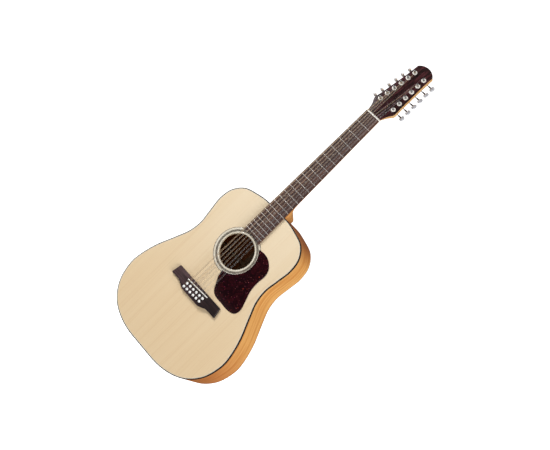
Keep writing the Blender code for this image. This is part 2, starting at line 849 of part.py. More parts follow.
def headstock_place(u, n):
    """Height along the neck and out of the soundboard of a point u up and n out of the headstock."""
    y = HEADSTOCK_START + u * math.cos(HEADSTOCK_TILT) + n * math.sin(HEADSTOCK_TILT)
    z = -u * math.sin(HEADSTOCK_TILT) + n * math.cos(HEADSTOCK_TILT)
    return y, z


def headstock_edge():
    """The headstock's treble edge from the nut to the middle of its tip."""
    points = [Vector(point) for point in HEADSTOCK_EDGE]
    corner = points[-1]
    rise = HEADSTOCK_TIP - corner.y
    radius = (corner.x**2 + rise**2) / (2 * rise)
    centre = HEADSTOCK_TIP - radius
    start = math.acos(corner.x / radius)
    steps = 8
    for step in range(1, steps + 1):
        turn = start + (math.pi / 2 - start) * step / steps
        points.append(Vector((radius * math.cos(turn), centre + radius * math.sin(turn))))
    return points


def make_neck(guitar, headstock):
    shaft = round_profile(6)
    rings = []
    edge = headstock_edge()
    edge[-1] = Vector((0.0015, edge[-1].y))
    for point in reversed(edge):
        share = min(1.0, max(0.0, (point.y - HEADSTOCK_SQUARE_FROM) / HEADSTOCK_SQUARE_OVER))
        profile = mixed(shaft, BOX_PROFILE, share**0.7)
        depth = NECK_DEPTH_NUT + (HEADSTOCK_DEPTH - NECK_DEPTH_NUT) * share

        def tilted(x, out, u=point.y):
            return (x, *headstock_place(u, out))

        rings.append(neck_ring(point.x, depth, profile, tilted))

    def upright(y):
        return lambda x, out: (x, y, out)

    for y in NECK_STATIONS:
        share = (SCALE_LENGTH - y) / (SCALE_LENGTH - HEEL_START)
        depth = NECK_DEPTH_NUT + (NECK_DEPTH_HEEL - NECK_DEPTH_NUT) * share
        rings.append(neck_ring(fretboard_half(y), depth, shaft, upright(y)))
    for y, depth in HEEL_CURVE:
        missing = (HEEL_DEPTH - depth) / (HEEL_DEPTH - NECK_DEPTH_HEEL)
        profile = mixed(shaft, HEEL_PROFILE, math.sqrt(1.0 - missing**2))
        rings.append(neck_ring(fretboard_half(y), depth, profile, upright(y)))
    end = NECK_END + GAP
    rings.append(neck_ring(fretboard_half(end), HEEL_DEPTH, HEEL_PROFILE, upright(end)))
    neck = add("neck", sweep(rings), MAHOGANY, guitar, smooth_angle=50)

    tenon = box((-TENON_HALF, TENON_END, TENON_BOTTOM), (TENON_HALF, NECK_END + 0.006, TENON_TOP))
    boolean(neck, guide("tenon_guide", tenon, guitar), "UNION")
    low = (-CHANNEL_HALF, TENON_END - 0.01, CHANNEL_DEPTH)
    high = (CHANNEL_HALF, ROD_FAR_END + 0.004, 0.01)
    boolean(neck, guide("rod_channel_cutter", box(low, high), guitar), "DIFFERENCE")
    holes = []
    for side, number in tuner_places():
        x, u = post_place(side, number)
        holes.append(cylinder(x, u, POST_HOLE_RADIUS, -0.04, 0.02, 10))
    cutter = guide("post_hole_cutter", joined(holes), headstock)
    boolean(neck, cutter, "DIFFERENCE")

    edge = headstock_edge()
    outline = edge + [Vector((-point.x, point.y)) for point in reversed(edge[:-1])]
    veneer = add("headstock_veneer", plate(outline, GAP, GAP + VENEER_THICKNESS), ROSEWOOD, headstock)
    boolean(veneer, cutter, "DIFFERENCE")


def make_nut(guitar):
    rings = []
    half = NUT_WIDTH / 2
    for share in (-1.0, -0.5, 0.0, 0.5, 1.0):
        x = share * half
        camber = x * x / (2 * FRETBOARD_CAMBER_RADIUS)
        near = SCALE_LENGTH + GAP
        far = near + NUT_THICKNESS - GAP
        rings.append([
            (x, near, GAP),
            (x, far, GAP),
            (x, far, NUT_HEIGHT - camber - NUT_BACK_FALL),
            (x, near, NUT_HEIGHT - camber),
        ])
    add("nut", sweep(rings), BONE, guitar)


def make_truss_rod(guitar):
    """The round adjusting rod in the neck's channel, with its socket end inside the soundhole."""
    profile = [
        (ROD_HEAD_RADIUS, 0.0),
        (ROD_HEAD_RADIUS, 0.012),
        (ROD_RADIUS, 0.0125),
        (ROD_RADIUS, ROD_FAR_END - ROD_NUT_END),
    ]
    rod = add("truss_rod", turned(profile, 10), STEEL, guitar)
    rod.location = (0.0, ROD_NUT_END, ROD_DEPTH)
    rod.rotation_euler = (-math.pi / 2, 0.0, 0.0)


def turned(profile, sides):
    """A lathe shape about Z from (radius, height) points; a pair of radii gives an oval ring."""
    rings = []
    for radius, height in profile:
        wide, thick = radius if isinstance(radius, tuple) else (radius, radius)
        turns = [math.tau * (index + 0.5) / sides for index in range(sides)]
        rings.append([(wide * math.cos(a), thick * math.sin(a), height) for a in turns])
    return sweep(rings)


def tuner_places():
    return [(side, number) for side in (-1, 1) for number in range(6)]


def tuner_name(side, number):
    return f"{'bass' if side < 0 else 'treble'}_{number + 1}"


def post_place(side, number):
    """Across and up the headstock, in its own frame."""
    offset = POST_OFFSET_FIRST + (POST_OFFSET_LAST - POST_OFFSET_FIRST) * number / 5
    return side * offset, TUNER_FIRST + number * TUNER_STEP


def make_tuners(headstock):
    back = -HEADSTOCK_DEPTH
    gear_top = back - PLATE_BACK - GAP
    gear_bottom = 2 * (back - WORM_DEPTH) - gear_top
    face = GAP + VENEER_THICKNESS
    post_profile = [
        (POST_FOOT_RADIUS, gear_bottom - POST_FOOT_LENGTH),
        (POST_FOOT_RADIUS, gear_bottom - 0.0001),
        (GEAR_RADIUS, gear_bottom),
        (GEAR_RADIUS, gear_top),
        (POST_RADIUS, gear_top + 0.0002),
        (POST_RADIUS, face + POST_SHOULDER),
        (POST_WAIST, face + POST_GROOVE_LOW),
        (POST_WAIST, face + POST_GROOVE_HIGH),
        (POST_RADIUS, face + POST_CROWN),
        (POST_RADIUS * 0.9, face + POST_HEIGHT),
    ]
    for side, number in tuner_places():
        x, u = post_place(side, number)
        name = f"tuner_post_{tuner_name(side, number)}"
        add(name, turned(post_profile, 10), CHROME, headstock, location=(x, u, 0.0))
        reach = BUTTON_REACH_FIRST + (BUTTON_REACH_LAST - BUTTON_REACH_FIRST) * number / 5
        spin = 0.0 if side > 0 else math.pi / 2
        name = f"tuner_button_{tuner_name(side, number)}"
        button = add(name, button_shape(reach, spin), CHROME, headstock)
        button.location = (x, u + WORM_OFFSET, back - WORM_DEPTH)
        button.rotation_euler = (0.0, side * math.pi / 2, 0.0)
    for side in (-1, 1):
        make_tuner_plate(headstock, side)


def button_shape(reach, spin):
    """A worm shaft along Z with a flattened oval button on its outer end."""
    start = reach - BUTTON_LENGTH
    wide = BUTTON_HALF_WIDTH
    thick = BUTTON_HALF_THICKNESS
    profile = [
        (SHAFT_RADIUS, -SHAFT_INNER_END),
        (SHAFT_RADIUS, -WORM_HALF_LENGTH - 0.0002),
        (WORM_RADIUS, -WORM_HALF_LENGTH),
        (WORM_RADIUS, WORM_HALF_LENGTH),
        (SHAFT_RADIUS, WORM_HALF_LENGTH + 0.0002),
        (SHAFT_RADIUS, start - 0.0010),
        ((0.0022, 0.0020), start),
        ((wide * 0.86, thick * 0.75), start + BUTTON_LENGTH * 0.25),
        ((wide, thick), start + BUTTON_LENGTH * 0.6),
        ((wide * 0.72, thick * 0.7), reach),
    ]
    vertices, faces = turned(profile, 12)
    turn = Matrix.Rotation(spin + math.pi / 2, 3, "Z")
    return [turn @ Vector(point) for point in vertices], faces


def make_tuner_plate(headstock, side):
    """A stamped plate behind the headstock with two lugs for each worm shaft."""
    back = -HEADSTOCK_DEPTH - GAP
    front_x, first_u = post_place(side, 0)
    last_x, last_u = post_place(side, 5)
    inner = -side * PLATE_INNER
    outer = side * PLATE_OUTER
    outline = [
        (front_x + inner, first_u - PLATE_LOWER),
        (front_x + outer, first_u - PLATE_LOWER),
        (last_x + outer, last_u + PLATE_UPPER),
        (last_x + inner, last_u + PLATE_UPPER),
    ]
    shape = plate(outline, -HEADSTOCK_DEPTH - PLATE_BACK, back)
    strip = add(f"tuner_plate_{'bass' if side < 0 else 'treble'}", shape, CHROME, headstock)
    lugs = []
    holes = []
    for number in range(6):
        x, u = post_place(side, number)
        worm_u = u + WORM_OFFSET
        for middle in LUG_PLACES:
            centre = x + side * middle
            bottom = -HEADSTOCK_DEPTH - WORM_DEPTH - LUG_BELOW_SHAFT
            low = (centre - LUG_HALF_THICKNESS, worm_u - LUG_HALF_LENGTH, bottom)
            high = (centre + LUG_HALF_THICKNESS, worm_u + LUG_HALF_LENGTH, back - LUG_OVERLAP)
            lugs.append(box(low, high))
        holes.append(cylinder(x, u, POST_HOLE_RADIUS, -0.03, 0.01, 10))
        shaft = cylinder(0, 0, SHAFT_RADIUS + GAP, -0.012, 0.012, 8)
        turn = Matrix.Translation((x, worm_u, -HEADSTOCK_DEPTH - WORM_DEPTH))
        turn = turn @ Matrix.Rotation(math.pi / 2, 4, "Y")
        holes.append(([turn @ Vector(point) for point in shaft[0]], shaft[1]))
    boolean(strip, guide(f"lug_guide_{side}", joined(lugs), headstock), "UNION")
    boolean(strip, guide(f"tuner_plate_cutter_{side}", joined(holes), headstock), "DIFFERENCE")


def string_route(course, row):
    """The points of one string from under the bridge plate to its tuner post, and its radius."""
    side_of_pair = 1 if row == 0 else -1
    radius = COURSE_RADII[course][1 if row == 0 else 0]
    _, _, pin_x, pin_y = pin_places()[2 * course + row]
    exit_x = pin_x + STRING_EXIT_SHIFT
    exit_y = pin_y + PIN_HOLE_RADIUS - radius - STRING_EXIT_CLEAR
    centred = course - 2.5
    saddle_x = centred * COURSE_SPACING_SADDLE + side_of_pair * PAIR_GAP_SADDLE / 2 + SADDLE_STRING_SHIFT
    saddle_y = SADDLE_Y + SADDLE_SLANT * saddle_x
    drop = SADDLE_CROWN * (saddle_x / SADDLE_HALF) ** 2
    points = [
        (exit_x, exit_y, STRING_BALL_DEPTH),
        (exit_x, exit_y, BRIDGE_HEIGHT - STRING_BEND),
        (exit_x + STRING_EXIT_SHIFT, exit_y + STRING_BEND, BRIDGE_HEIGHT + radius + STRING_BEND),
    ]
    if row == 1:
        front_x, front_y = pin_places()[2 * course][2:]
        points.append((front_x + STRING_PASS_SHIFT, front_y, BRIDGE_HEIGHT + radius + STRING_PASS_HEIGHT))
    points.append((saddle_x, saddle_y, SADDLE_TOP - drop + radius + GAP))
    nut_x = centred * COURSE_SPACING_NUT + side_of_pair * PAIR_GAP_NUT / 2
    camber = nut_x**2 / (2 * FRETBOARD_CAMBER_RADIUS)
    nut_y = SCALE_LENGTH + NUT_STRING_START
    points.append((nut_x, nut_y, NUT_HEIGHT - camber + radius + GAP))
    side = -1 if course < 3 else 1
    number = 2 * (course if side < 0 else 5 - course) + (0 if side_of_pair == side else 1)
    post_x, post_u = post_place(side, number)
    end_x = post_x - side * (POST_RADIUS + radius + GAP)
    end_y, end_z = headstock_place(post_u, GAP + VENEER_THICKNESS + WINDING_HEIGHT)
    points.append((end_x, end_y, end_z))
    return points, radius


def make_strings(guitar):
    for course in range(6):
        for row in (1, 0):
            number = 12 - 2 * course - (1 if row == 0 else 0)
            points, radius = string_route(course, row)
            curve = bpy.data.curves.new(f"string_{number}", "CURVE")
            curve.dimensions = "3D"
            curve.bevel_depth = radius
            curve.bevel_resolution = 1
            curve.use_fill_caps = True
            spline = curve.splines.new("POLY")
            spline.points.add(len(points) - 1)
            for target, place in zip(spline.points, points):
                target.co = (*place, 1.0)
            string = bpy.data.objects.new(f"string_{number}", curve)
            bpy.context.collection.objects.link(string)
            string.parent = guitar
            wound = radius > WOUND_FROM
            curve.materials.append(material(string.name, BRONZE if wound else STEEL))


def build():
    clear_scene()
    upright = (math.pi / 2, 0.0, 0.0)
    guitar = empty("guitar", location=(0.0, 0.0, -SCALE_LENGTH), rotation=upright)
    tilt = (-HEADSTOCK_TILT, 0.0, 0.0)
    headstock = empty("headstock", guitar, location=(0.0, HEADSTOCK_START, 0.0), rotation=tilt)
    make_pin_hole_cutter(guitar)
    make_body(guitar)
    make_linings(guitar)
    make_blocks(guitar)
    make_braces(guitar)
    make_bridge(guitar)
    make_pickguard(guitar)
    make_fretboard(guitar)
    make_neck(guitar, headstock)
    make_nut(guitar)
    make_truss_rod(guitar)
    make_tuners(headstock)
    make_strings(guitar)


build()
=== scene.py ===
"""Finished looks for a twelve-string dreadnought acoustic guitar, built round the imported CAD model.

Most pieces are drawn with the guitar lying on its back: X across the strings towards the treble side,
Y along the neck from the bridge end of the scale (0) to the nut (SCALE_LENGTH), Z out of the soundboard.
LYING then stands them up into the model's own frame, and HEAD does the same for the tilted headstock.
"""
import math

import bmesh
import bpy
from mathutils import Matrix, Vector


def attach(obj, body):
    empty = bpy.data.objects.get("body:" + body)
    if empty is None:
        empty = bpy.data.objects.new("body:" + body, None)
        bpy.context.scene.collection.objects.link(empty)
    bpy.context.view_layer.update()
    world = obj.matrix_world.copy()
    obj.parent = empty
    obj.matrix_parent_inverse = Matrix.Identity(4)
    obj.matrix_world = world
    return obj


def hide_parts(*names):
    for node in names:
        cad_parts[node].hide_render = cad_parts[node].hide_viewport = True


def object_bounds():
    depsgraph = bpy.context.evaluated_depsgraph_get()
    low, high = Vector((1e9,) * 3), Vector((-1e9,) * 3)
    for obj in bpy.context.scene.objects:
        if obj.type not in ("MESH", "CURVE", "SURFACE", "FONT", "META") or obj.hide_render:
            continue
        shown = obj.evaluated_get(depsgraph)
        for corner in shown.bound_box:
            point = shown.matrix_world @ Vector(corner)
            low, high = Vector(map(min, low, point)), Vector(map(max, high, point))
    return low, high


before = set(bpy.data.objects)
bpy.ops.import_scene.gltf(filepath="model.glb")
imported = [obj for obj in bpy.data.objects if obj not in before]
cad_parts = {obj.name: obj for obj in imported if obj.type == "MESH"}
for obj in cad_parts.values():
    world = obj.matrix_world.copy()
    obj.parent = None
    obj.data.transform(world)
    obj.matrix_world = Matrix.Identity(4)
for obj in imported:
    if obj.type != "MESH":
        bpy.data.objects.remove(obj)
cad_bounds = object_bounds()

# The design's driving dimensions, in metres
SCALE_LENGTH = 0.648
FRET_COUNT = 20
GAP = 0.0003

NECK_END = 0.291
TAIL_END = -0.2252
NECK_FLAT_HALF = 0.036
TAIL_FLAT_HALF = 0.040
BODY_CURVE = [
    (0.0360, 0.2910), (0.0773, 0.2847), (0.1160, 0.2716), (0.1405, 0.2429),
    (0.1479, 0.2050), (0.1425, 0.1600), (0.1375, 0.1200), (0.1428, 0.0832),
    (0.1592, 0.0435), (0.1851, -0.0146), (0.1990, -0.0658), (0.2011, -0.0972),
    (0.1868, -0.1513), (0.1524, -0.1928), (0.1045, -0.2162), (0.0400, -0.2252),
]
TOP_THICKNESS = 0.0030
BACK_THICKNESS = 0.0026
SIDE_THICKNESS = 0.0024
BINDING_HEIGHT = 0.0060
BACK_BINDING_HEIGHT = 0.0024
DEPTH_AT_NECK = 0.098
DEPTH_AT_TAIL = 0.118
BACK_ARCH_ACROSS = 0.004
BACK_ARCH_ALONG = 0.003
ARCH_HALF_WIDTH = 0.200
BACK_MIDDLE_Y = 0.020
TENON_HALF = 0.012

HOLE_Y = 0.1374
HOLE_RADIUS = 0.050
PICKGUARD_THICKNESS = 0.0015
PICKGUARD_HOLE_RADIUS = 0.0625
PICKGUARD_CURVE = [
    (0.0430, 0.1845), (0.0620, 0.1868), (0.0800, 0.1832), (0.0995, 0.1690),
    (0.1075, 0.1500), (0.1060, 0.1200), (0.1087, 0.0920), (0.1187, 0.0635),
    (0.1268, 0.0372), (0.1208, 0.0202), (0.1040, 0.0134), (0.0730, 0.0134),
    (0.0480, 0.0146), (0.0345, 0.0215), (0.0225, 0.0400), (0.0115, 0.0585),
]

BRIDGE_FRONT = 0.0020
BRIDGE_HALF_FRONT = 0.0850
BRIDGE_HALF_BACK = 0.0905
BRIDGE_WIDTH_END = 0.0295
BRIDGE_WIDTH_BELLY = 0.0400
BRIDGE_HEIGHT = 0.0095
BRIDGE_WING_HEIGHT = 0.0065
BELLY_FROM = 0.34
BELLY_TO = 0.68
WING_FROM = 0.52
WING_TO = 0.82
BRIDGE_END_FROM = 0.988
BRIDGE_END_DROP = 0.0012
SADDLE_Y = -0.0055
SADDLE_SLANT = 0.055
SADDLE_HALF = 0.0385
SADDLE_THICKNESS = 0.0030
SADDLE_TOP = 0.0125
SADDLE_CROWN = 0.0008
SADDLE_SEAT = 0.0055
PIN_SPACING = 0.0124
PIN_FRONT_ROW = -0.0158
PIN_BACK_ROW = -0.0274
PIN_BACK_ROW_SHIFT = -0.0015
PIN_HOLE_RADIUS = 0.0026

NUT_WIDTH = 0.0476
FRETBOARD_FLARE = 0.0210
FRETBOARD_THICKNESS = 0.0062
FRETBOARD_CAMBER_RADIUS = 0.400
FRETBOARD_END_RADIUS = 0.062
FRETBOARD_END_CURVE = 0.205
NECK_DEPTH_NUT = 0.0150
NECK_DEPTH_HEEL = 0.0175
HEEL_START = 0.346
HEEL_DEPTH = 0.101
HEEL_CAP_SHARE = 0.46
NECK_STEPS = 18
HEEL_CURVE = [
    (0.3460, 0.0175), (0.3345, 0.0215), (0.3250, 0.0330), (0.3180, 0.0500),
    (0.3115, 0.0690), (0.3055, 0.0865), (0.3015, 0.0965), (0.2990, 0.1010),
]
NUT_THICKNESS = 0.0044
NUT_HEIGHT = 0.0080
ROD_DEPTH = -0.0090
ROD_RADIUS = 0.0022
ROD_HEAD_RADIUS = 0.0032
ROD_NUT_END = 0.225
ROD_FAR_END = 0.636

HEADSTOCK_TILT = math.radians(12.5)
HEADSTOCK_START = 0.653
HEADSTOCK_DEPTH = 0.0150
VENEER_THICKNESS = 0.0018
VENEER_FACE = GAP + VENEER_THICKNESS
HEADSTOCK_EDGE = [
    (0.0236, 0.0005), (0.0264, 0.0120), (0.0294, 0.0200), (0.0341, 0.0280),
    (0.0374, 0.0335), (0.0386, 0.0390), (0.0381, 0.0450), (0.0361, 0.0600),
    (0.0327, 0.1000), (0.0289, 0.1480), (0.0277, 0.1860),
]
HEADSTOCK_TIP = 0.1992
HEADSTOCK_SQUARE_FROM = 0.002
HEADSTOCK_SQUARE_TO = 0.038

TUNER_FIRST = 0.0454
TUNER_STEP = 0.0237
POST_OFFSET_FIRST = 0.0248
POST_OFFSET_LAST = 0.0170
POST_RADIUS = 0.0030
POST_WAIST = 0.0026
POST_HEIGHT = 0.0115
POST_HOLE_HEIGHT = 0.0085
POST_HOLE_RADIUS = 0.0008
GEAR_RADIUS = 0.0035
GEAR_TEETH = 14
WORM_RADIUS = 0.0015
SHAFT_RADIUS = 0.0012
PLATE_BACK = 0.0012
WORM_DEPTH = 0.0032
WORM_OFFSET = GEAR_RADIUS + WORM_RADIUS + GAP
WORM_HEIGHT = -HEADSTOCK_DEPTH - WORM_DEPTH
BUTTON_REACH_FIRST = 0.0330
BUTTON_REACH_LAST = 0.0322
BUTTON_LENGTH = 0.0118
BUTTON_HALF_WIDTH = 0.0080
BUTTON_HALF_THICKNESS = 0.0033

COURSE_RADII = [
    (0.00034, 0.00060), (0.00024, 0.00050), (0.00018, 0.00038),
    (0.00018, 0.00029), (0.00018, 0.00018), (0.00018, 0.00018),
]
COURSE_SPACING_NUT = 0.00775
COURSE_SPACING_SADDLE = 0.0116
PAIR_GAP_NUT = 0.0020
PAIR_GAP_SADDLE = 0.0030
SADDLE_STRING_SHIFT = -0.0010
STRING_BALL_DEPTH = -0.0090
WOUND_FROM = 0.00027
WINDING_HEIGHT = 0.0060

# Detail that only the looks have
PLATE_CLEARANCE = 0.0001
INLAY_CLEARANCE = 0.00005
HOLE_ROUNDING = 0.0006
BINDING_ROUNDING = 0.0010
PICKGUARD_ROUNDING = 0.0007
BRIDGE_ROUNDING = 0.0016
VENEER_ROUNDING = 0.0005
PLATE_ROUNDING = 0.0004
PURFLING_FROM = 0.0025
PURFLING_TO = 0.0040
INLAY_DEPTH = 0.0011
PURFLING_RISE = 0.00002
ROSETTE_DEPTH = 0.0004
ROSETTE_RISE = 0.0001
ROSETTE = [
    ("rosette_edge", 0.0503, 0.0509, "dark_line"),
    ("rosette_inner", 0.0509, 0.0551, "ivory"),
    ("rosette_shell", 0.0551, 0.0611, "shell"),
    ("rosette_outer", 0.0611, 0.0660, "ivory"),
    ("rosette_line", 0.0664, 0.0676, "dark_line"),
]
PIN_LENGTH = 0.0150
PIN_HEAD_RADIUS = 0.0038
PIN_HEAD_RIM = 0.0013
PIN_HEAD_DOME = 0.0024
FRET_HALF_WIDTH = 0.0011
FRET_HEIGHT = 0.0010
FRET_FOOT = 0.0004
DOT_FRETS = (3, 5, 7, 9, 12, 15, 17)
OCTAVE_FRET = 12
OCTAVE_DOT_SIDE = 0.0117
DOT_RADIUS = 0.0028
BUSHING_RADIUS = 0.0066
WORM_PITCH = 0.00125
WORM_THREAD = 0.00045
WORM_HALF_LENGTH = 0.0050
SHAFT_END = -0.0085
LUG_HALF = 0.0026
LUG_HALF_THICKNESS = 0.0010
LUG_INNER = -0.0070
LUG_OUTER = 0.0072
PLATE_INNER = -0.0100
PLATE_OUTER = 0.0098
PLATE_FOOT = -0.0085
PLATE_HEAD = 0.0130
PLATE_CORNER = 0.0035
SCREW_INNER = -0.0072

# The camera, the floor and the lights
LENS = 65.4545
CAMERA_PLACE = (1.0287, -2.4606, -0.3007)
CAMERA_AIM = (0.0237, 0.0, -0.388)
CAMERA_ROLL = math.radians(45.2)
FLOOR_DROP = 0.30
STAGE_RADIUS = 7.0
STAGE_CURVE = 3.0
STAGE_HEIGHT = 6.0
AMBIENT_LIGHT = 0.29
REFLECTED_LIGHT = (0.04, 0.75)
DARK_AXIS = (-0.38, -0.90, 0.16)
LIGHTS_AIM = (0.0, 0.0, -0.4)
LIGHTS = [
    ("key", (-1.7, -1.6, 0.75), 1.0, 47.0),
    ("side", (3.1, -1.1, -0.6), 2.4, 92.0),
    ("behind", (-3.2, 2.2, 1.0), 2.0, 60.0),
]

GUITAR = "guitar"
LYING = Matrix.Translation((0.0, 0.0, -SCALE_LENGTH)) @ Matrix.Rotation(math.pi / 2, 4, "X")
HEAD = LYING @ Matrix.Translation((0.0, HEADSTOCK_START, 0.0)) @ Matrix.Rotation(-HEADSTOCK_TILT, 4, "X")
HIDDEN_WOODS = {
    "inner_wood": ("neck_block", "tail_block", "lining_top", "lining_back", "bridge_plate"),
    "painted_shade_brace_spruce": ("x_brace", "upper_brace", "back_bracing"),
}

# Plain colours, a streak tint, and the painted shade that darkens a wood by place
WHITE = (1.0, 1.0, 1.0, 1.0)
FLOOR_COLOUR = (0.9, 0.9, 0.9, 1.0)
LOW_TOP_PAINTED_SHADE = (0.965, 0.895, 0.795, 1.0)
LOW_NECK_PAINTED_SHADE = (0.90, 0.70, 0.48, 1.0)
STREAK_TINT = (0.84, 0.74, 0.64, 1.0)
SHOULDER_PAINTED_SHADE = (0.62, 0.42, 0.38, 1.0)
TAIL_PAINTED_SHADE = (0.70, 0.51, 0.50, 1.0)
INSIDE_PAINTED_SHADE = (0.54, 0.42, 0.34, 1.0)
TREBLE_PAINTED_SHADE = (0.24, 0.18, 0.17, 1.0)


# Shapes: every shape is a pair of lists, its vertices and its faces

def sweep(sections, closed=False, caps=True):
    """A skin over equal rings of points, with flat ends unless it closes on itself."""
    count = len(sections[0])
    vertices = [Vector(point) for ring in sections for point in ring]
    faces = []
    spans = len(sections) if closed else len(sections) - 1
    for span in range(spans):
        here = span * count
        there = (span + 1) % len(sections) * count
        for index in range(count):
            after = (index + 1) % count
            faces.append((here + index, here + after, there + after, there + index))
    if caps and not closed:
        faces.append(tuple(range(count)))
        faces.append(tuple(range(len(vertices) - count, len(vertices))))
    return vertices, faces


def joined(shapes):
    """Several shapes as one."""
    vertices = []
    faces = []
    for points, sides in shapes:
        start = len(vertices)
        vertices += points
        faces += [tuple(start + index for index in side) for side in sides]
    return vertices, faces


def moved(shape, matrix):
    return [matrix @ Vector(point) for point in shape[0]], shape[1]


def around(sides):
    """Equal turns all the way round."""
    return [math.tau * index / sides for index in range(sides)]


def polar(radius, turn, height):
    return radius * math.cos(turn), radius * math.sin(turn), height


def turned(profile, sides):
    """A lathe shape about Z from (radius, height) points."""
    return sweep([[polar(radius, turn, height) for turn in around(sides)] for radius, height in profile])


def tube(inner, outer_profile, sides):
    """A ring turned about Z with a straight bore; outer_profile is (radius, height) from bottom to top."""
    section = [(inner, outer_profile[0][1]), *outer_profile, (inner, outer_profile[-1][1])]
    rings = [[polar(radius, turn, height) for radius, height in section] for turn in around(sides)]
    return sweep(rings, closed=True)


def rounding(radius, steps):
    """A rounded corner's points, as (inwards, downwards), from its wall to its top face."""
    turns = spread(0.0, math.pi / 2, steps + 1)
    return [(radius * (1.0 - math.cos(a)), radius * (1.0 - math.sin(a))) for a in turns]


def arch(half, rise, low, steps):
    """A half round from one side to the other, as (across, height)."""
    return [(half * math.cos(a), low + rise * math.sin(a)) for a in spread(0.0, math.pi, steps + 1)]


def slab(outline, thickness, bevel):
    """A flat plate on an outline, its upper rim rounded over by bevel."""
    rings = [[(p.x, p.y, 0.0) for p in outline]]
    for inwards, down in rounding(bevel, 3):
        line = inset(outline, inwards) if inwards else outline
        rings.append([(p.x, p.y, thickness - down) for p in line])
    return sweep(rings)


def bar(half_x, half_y, low, high):
    """A straight bar about Z."""
    corners = ((-half_x, -half_y), (half_x, -half_y), (half_x, half_y), (-half_x, half_y))
    return sweep([[(x, y, z) for x, y in corners] for z in (low, high)])


def at(x, y, z=0.0):
    return Matrix.Translation((x, y, z))


def catmull_rom(points, steps):
    """A centripetal curve through all but the first and last of the points."""
    made = []
    for before, start, end, after in zip(points, points[1:], points[2:], points[3:]):
        corners = [Vector(p) for p in (before, start, end, after)]
        knots = [0.0]
        for a, b in zip(corners, corners[1:]):
            knots.append(knots[-1] + (b - a).length ** 0.5)
        for step in range(steps):
            t = knots[1] + (knots[2] - knots[1]) * step / steps
            level = corners
            for spans in ([(0, 1)] * 3, [(0, 2)] * 2, [(1, 2)]):
                level = [
                    level[i].lerp(level[i + 1], (t - knots[i + lo]) / (knots[i + hi] - knots[i + lo]))
                    for i, (lo, hi) in enumerate(spans)
                ]
            made.append(level[0])
    made.append(Vector(points[-2]))
    return made


def lengths_along(points):
    """The distance along a line from its start to each of its points."""
    lengths = [0.0]
    for a, b in zip(points, points[1:]):
        lengths.append(lengths[-1] + (b - a).length)
    return lengths


def evenly(points, count):
    """The same line cut into equal lengths."""
    lengths = lengths_along(points)
    made = []
    span = 0
    for index in range(count + 1):
        target = lengths[-1] * index / count
        while span < len(points) - 2 and lengths[span + 1] < target:
            span += 1
        share = (target - lengths[span]) / (lengths[span + 1] - lengths[span])
        made.append(points[span].lerp(points[span + 1], share))
    return made


def inset(line, distance, closed=True):
    """A line moved to its inner side by a distance, square to each stretch; it may run either way."""
    last = len(line) - 1
    area = sum(a.x * b.y - b.x * a.y for a, b in zip(line, line[1:] + line[:1]))
    if area > 0:
        distance = -distance
    made = []
    for index, point in enumerate(line):
        ahead = line[(index + 1) % len(line)] if closed or index < last else None
        behind = line[index - 1] if closed or index > 0 else None
        normals = []
        for a, b in ((behind, point), (point, ahead)):
            if a is not None and b is not None:
                run = (b - a).normalized()
                normals.append(Vector((-run.y, run.x)))
        mean = sum(normals, Vector((0.0, 0.0))) / len(normals)
        made.append(point - mean * distance / mean.length_squared)
    return made


def spread(low, high, count):
    return [low + (high - low) * index / (count - 1) for index in range(count)]


def between(start, end, share):
    return start + (end - start) * share


def clamp(value):
    return min(1.0, max(0.0, value))


def ease(value):
    """A smooth start and stop for a share that goes from 0 to 1."""
    return value * value * (3.0 - 2.0 * value)


def swing(value, low, high):
    """A share that swings from 0 to 1 as value goes from low to high."""
    return 0.5 - 0.5 * math.cos(math.pi * clamp((value - low) / (high - low)))


# The guitar's own formulas

def body_half():
    """The treble half of the body's outline, from the neck's centre to the tail's centre."""
    lead_in = (2 * NECK_FLAT_HALF - BODY_CURVE[1][0], BODY_CURVE[1][1])
    lead_out = (2 * TAIL_FLAT_HALF - BODY_CURVE[-2][0], BODY_CURVE[-2][1])
    curve = catmull_rom([lead_in, *BODY_CURVE, lead_out], 24)
    return [Vector((0.0, NECK_END)), *evenly(curve, 220), Vector((0.0, TAIL_END))]


def mirrored(points):
    return [Vector((-point.x, point.y)) for point in reversed(points)]


def body_outline():
    half = body_half()
    return half + mirrored(half[1:-1])


def back_depth(x, y):
    """Depth of the back's outer face below the soundboard's front face: it tapers and it is arched."""
    share = (NECK_END - y) / (NECK_END - TAIL_END)
    along = BACK_ARCH_ALONG * 4.0 * share * (1.0 - share)
    across = BACK_ARCH_ACROSS * (1.0 - (x / ARCH_HALF_WIDTH) ** 2)
    return between(DEPTH_AT_NECK, DEPTH_AT_TAIL, share) + along + across


def fret_y(number):
    return SCALE_LENGTH * 2.0 ** (-number / 12.0)


def fretboard_half(y):
    return 0.5 * (NUT_WIDTH + FRETBOARD_FLARE * (1.0 - y / SCALE_LENGTH))


def fretboard_top(x):
    return GAP + FRETBOARD_THICKNESS - x * x / (2 * FRETBOARD_CAMBER_RADIUS)


def headstock_place(u, n):
    """Height along the neck and out of the soundboard of a point u up and n out of the headstock."""
    y = HEADSTOCK_START + u * math.cos(HEADSTOCK_TILT) + n * math.sin(HEADSTOCK_TILT)
    z = -u * math.sin(HEADSTOCK_TILT) + n * math.cos(HEADSTOCK_TILT)
    return y, z


def headstock_edge():
    """The headstock's treble edge from the nut to the middle of its tip."""
    points = catmull_rom([(0.0228, -0.0080), *HEADSTOCK_EDGE, (0.0274, 0.2200)], 10)
    corner = points[-1]
    rise = HEADSTOCK_TIP - corner.y
    radius = (corner.x**2 + rise**2) / (2 * rise)
    centre = HEADSTOCK_TIP - radius
    for turn in spread(math.acos(corner.x / radius), math.pi / 2, 31)[1:]:
        points.append(Vector((radius * math.cos(turn), centre + radius * math.sin(turn))))
    return points


def side_name(side):
    return "bass" if side < 0 else "treble"


def tuner_name(side, number):
    return f"{side_name(side)}_{number + 1}"


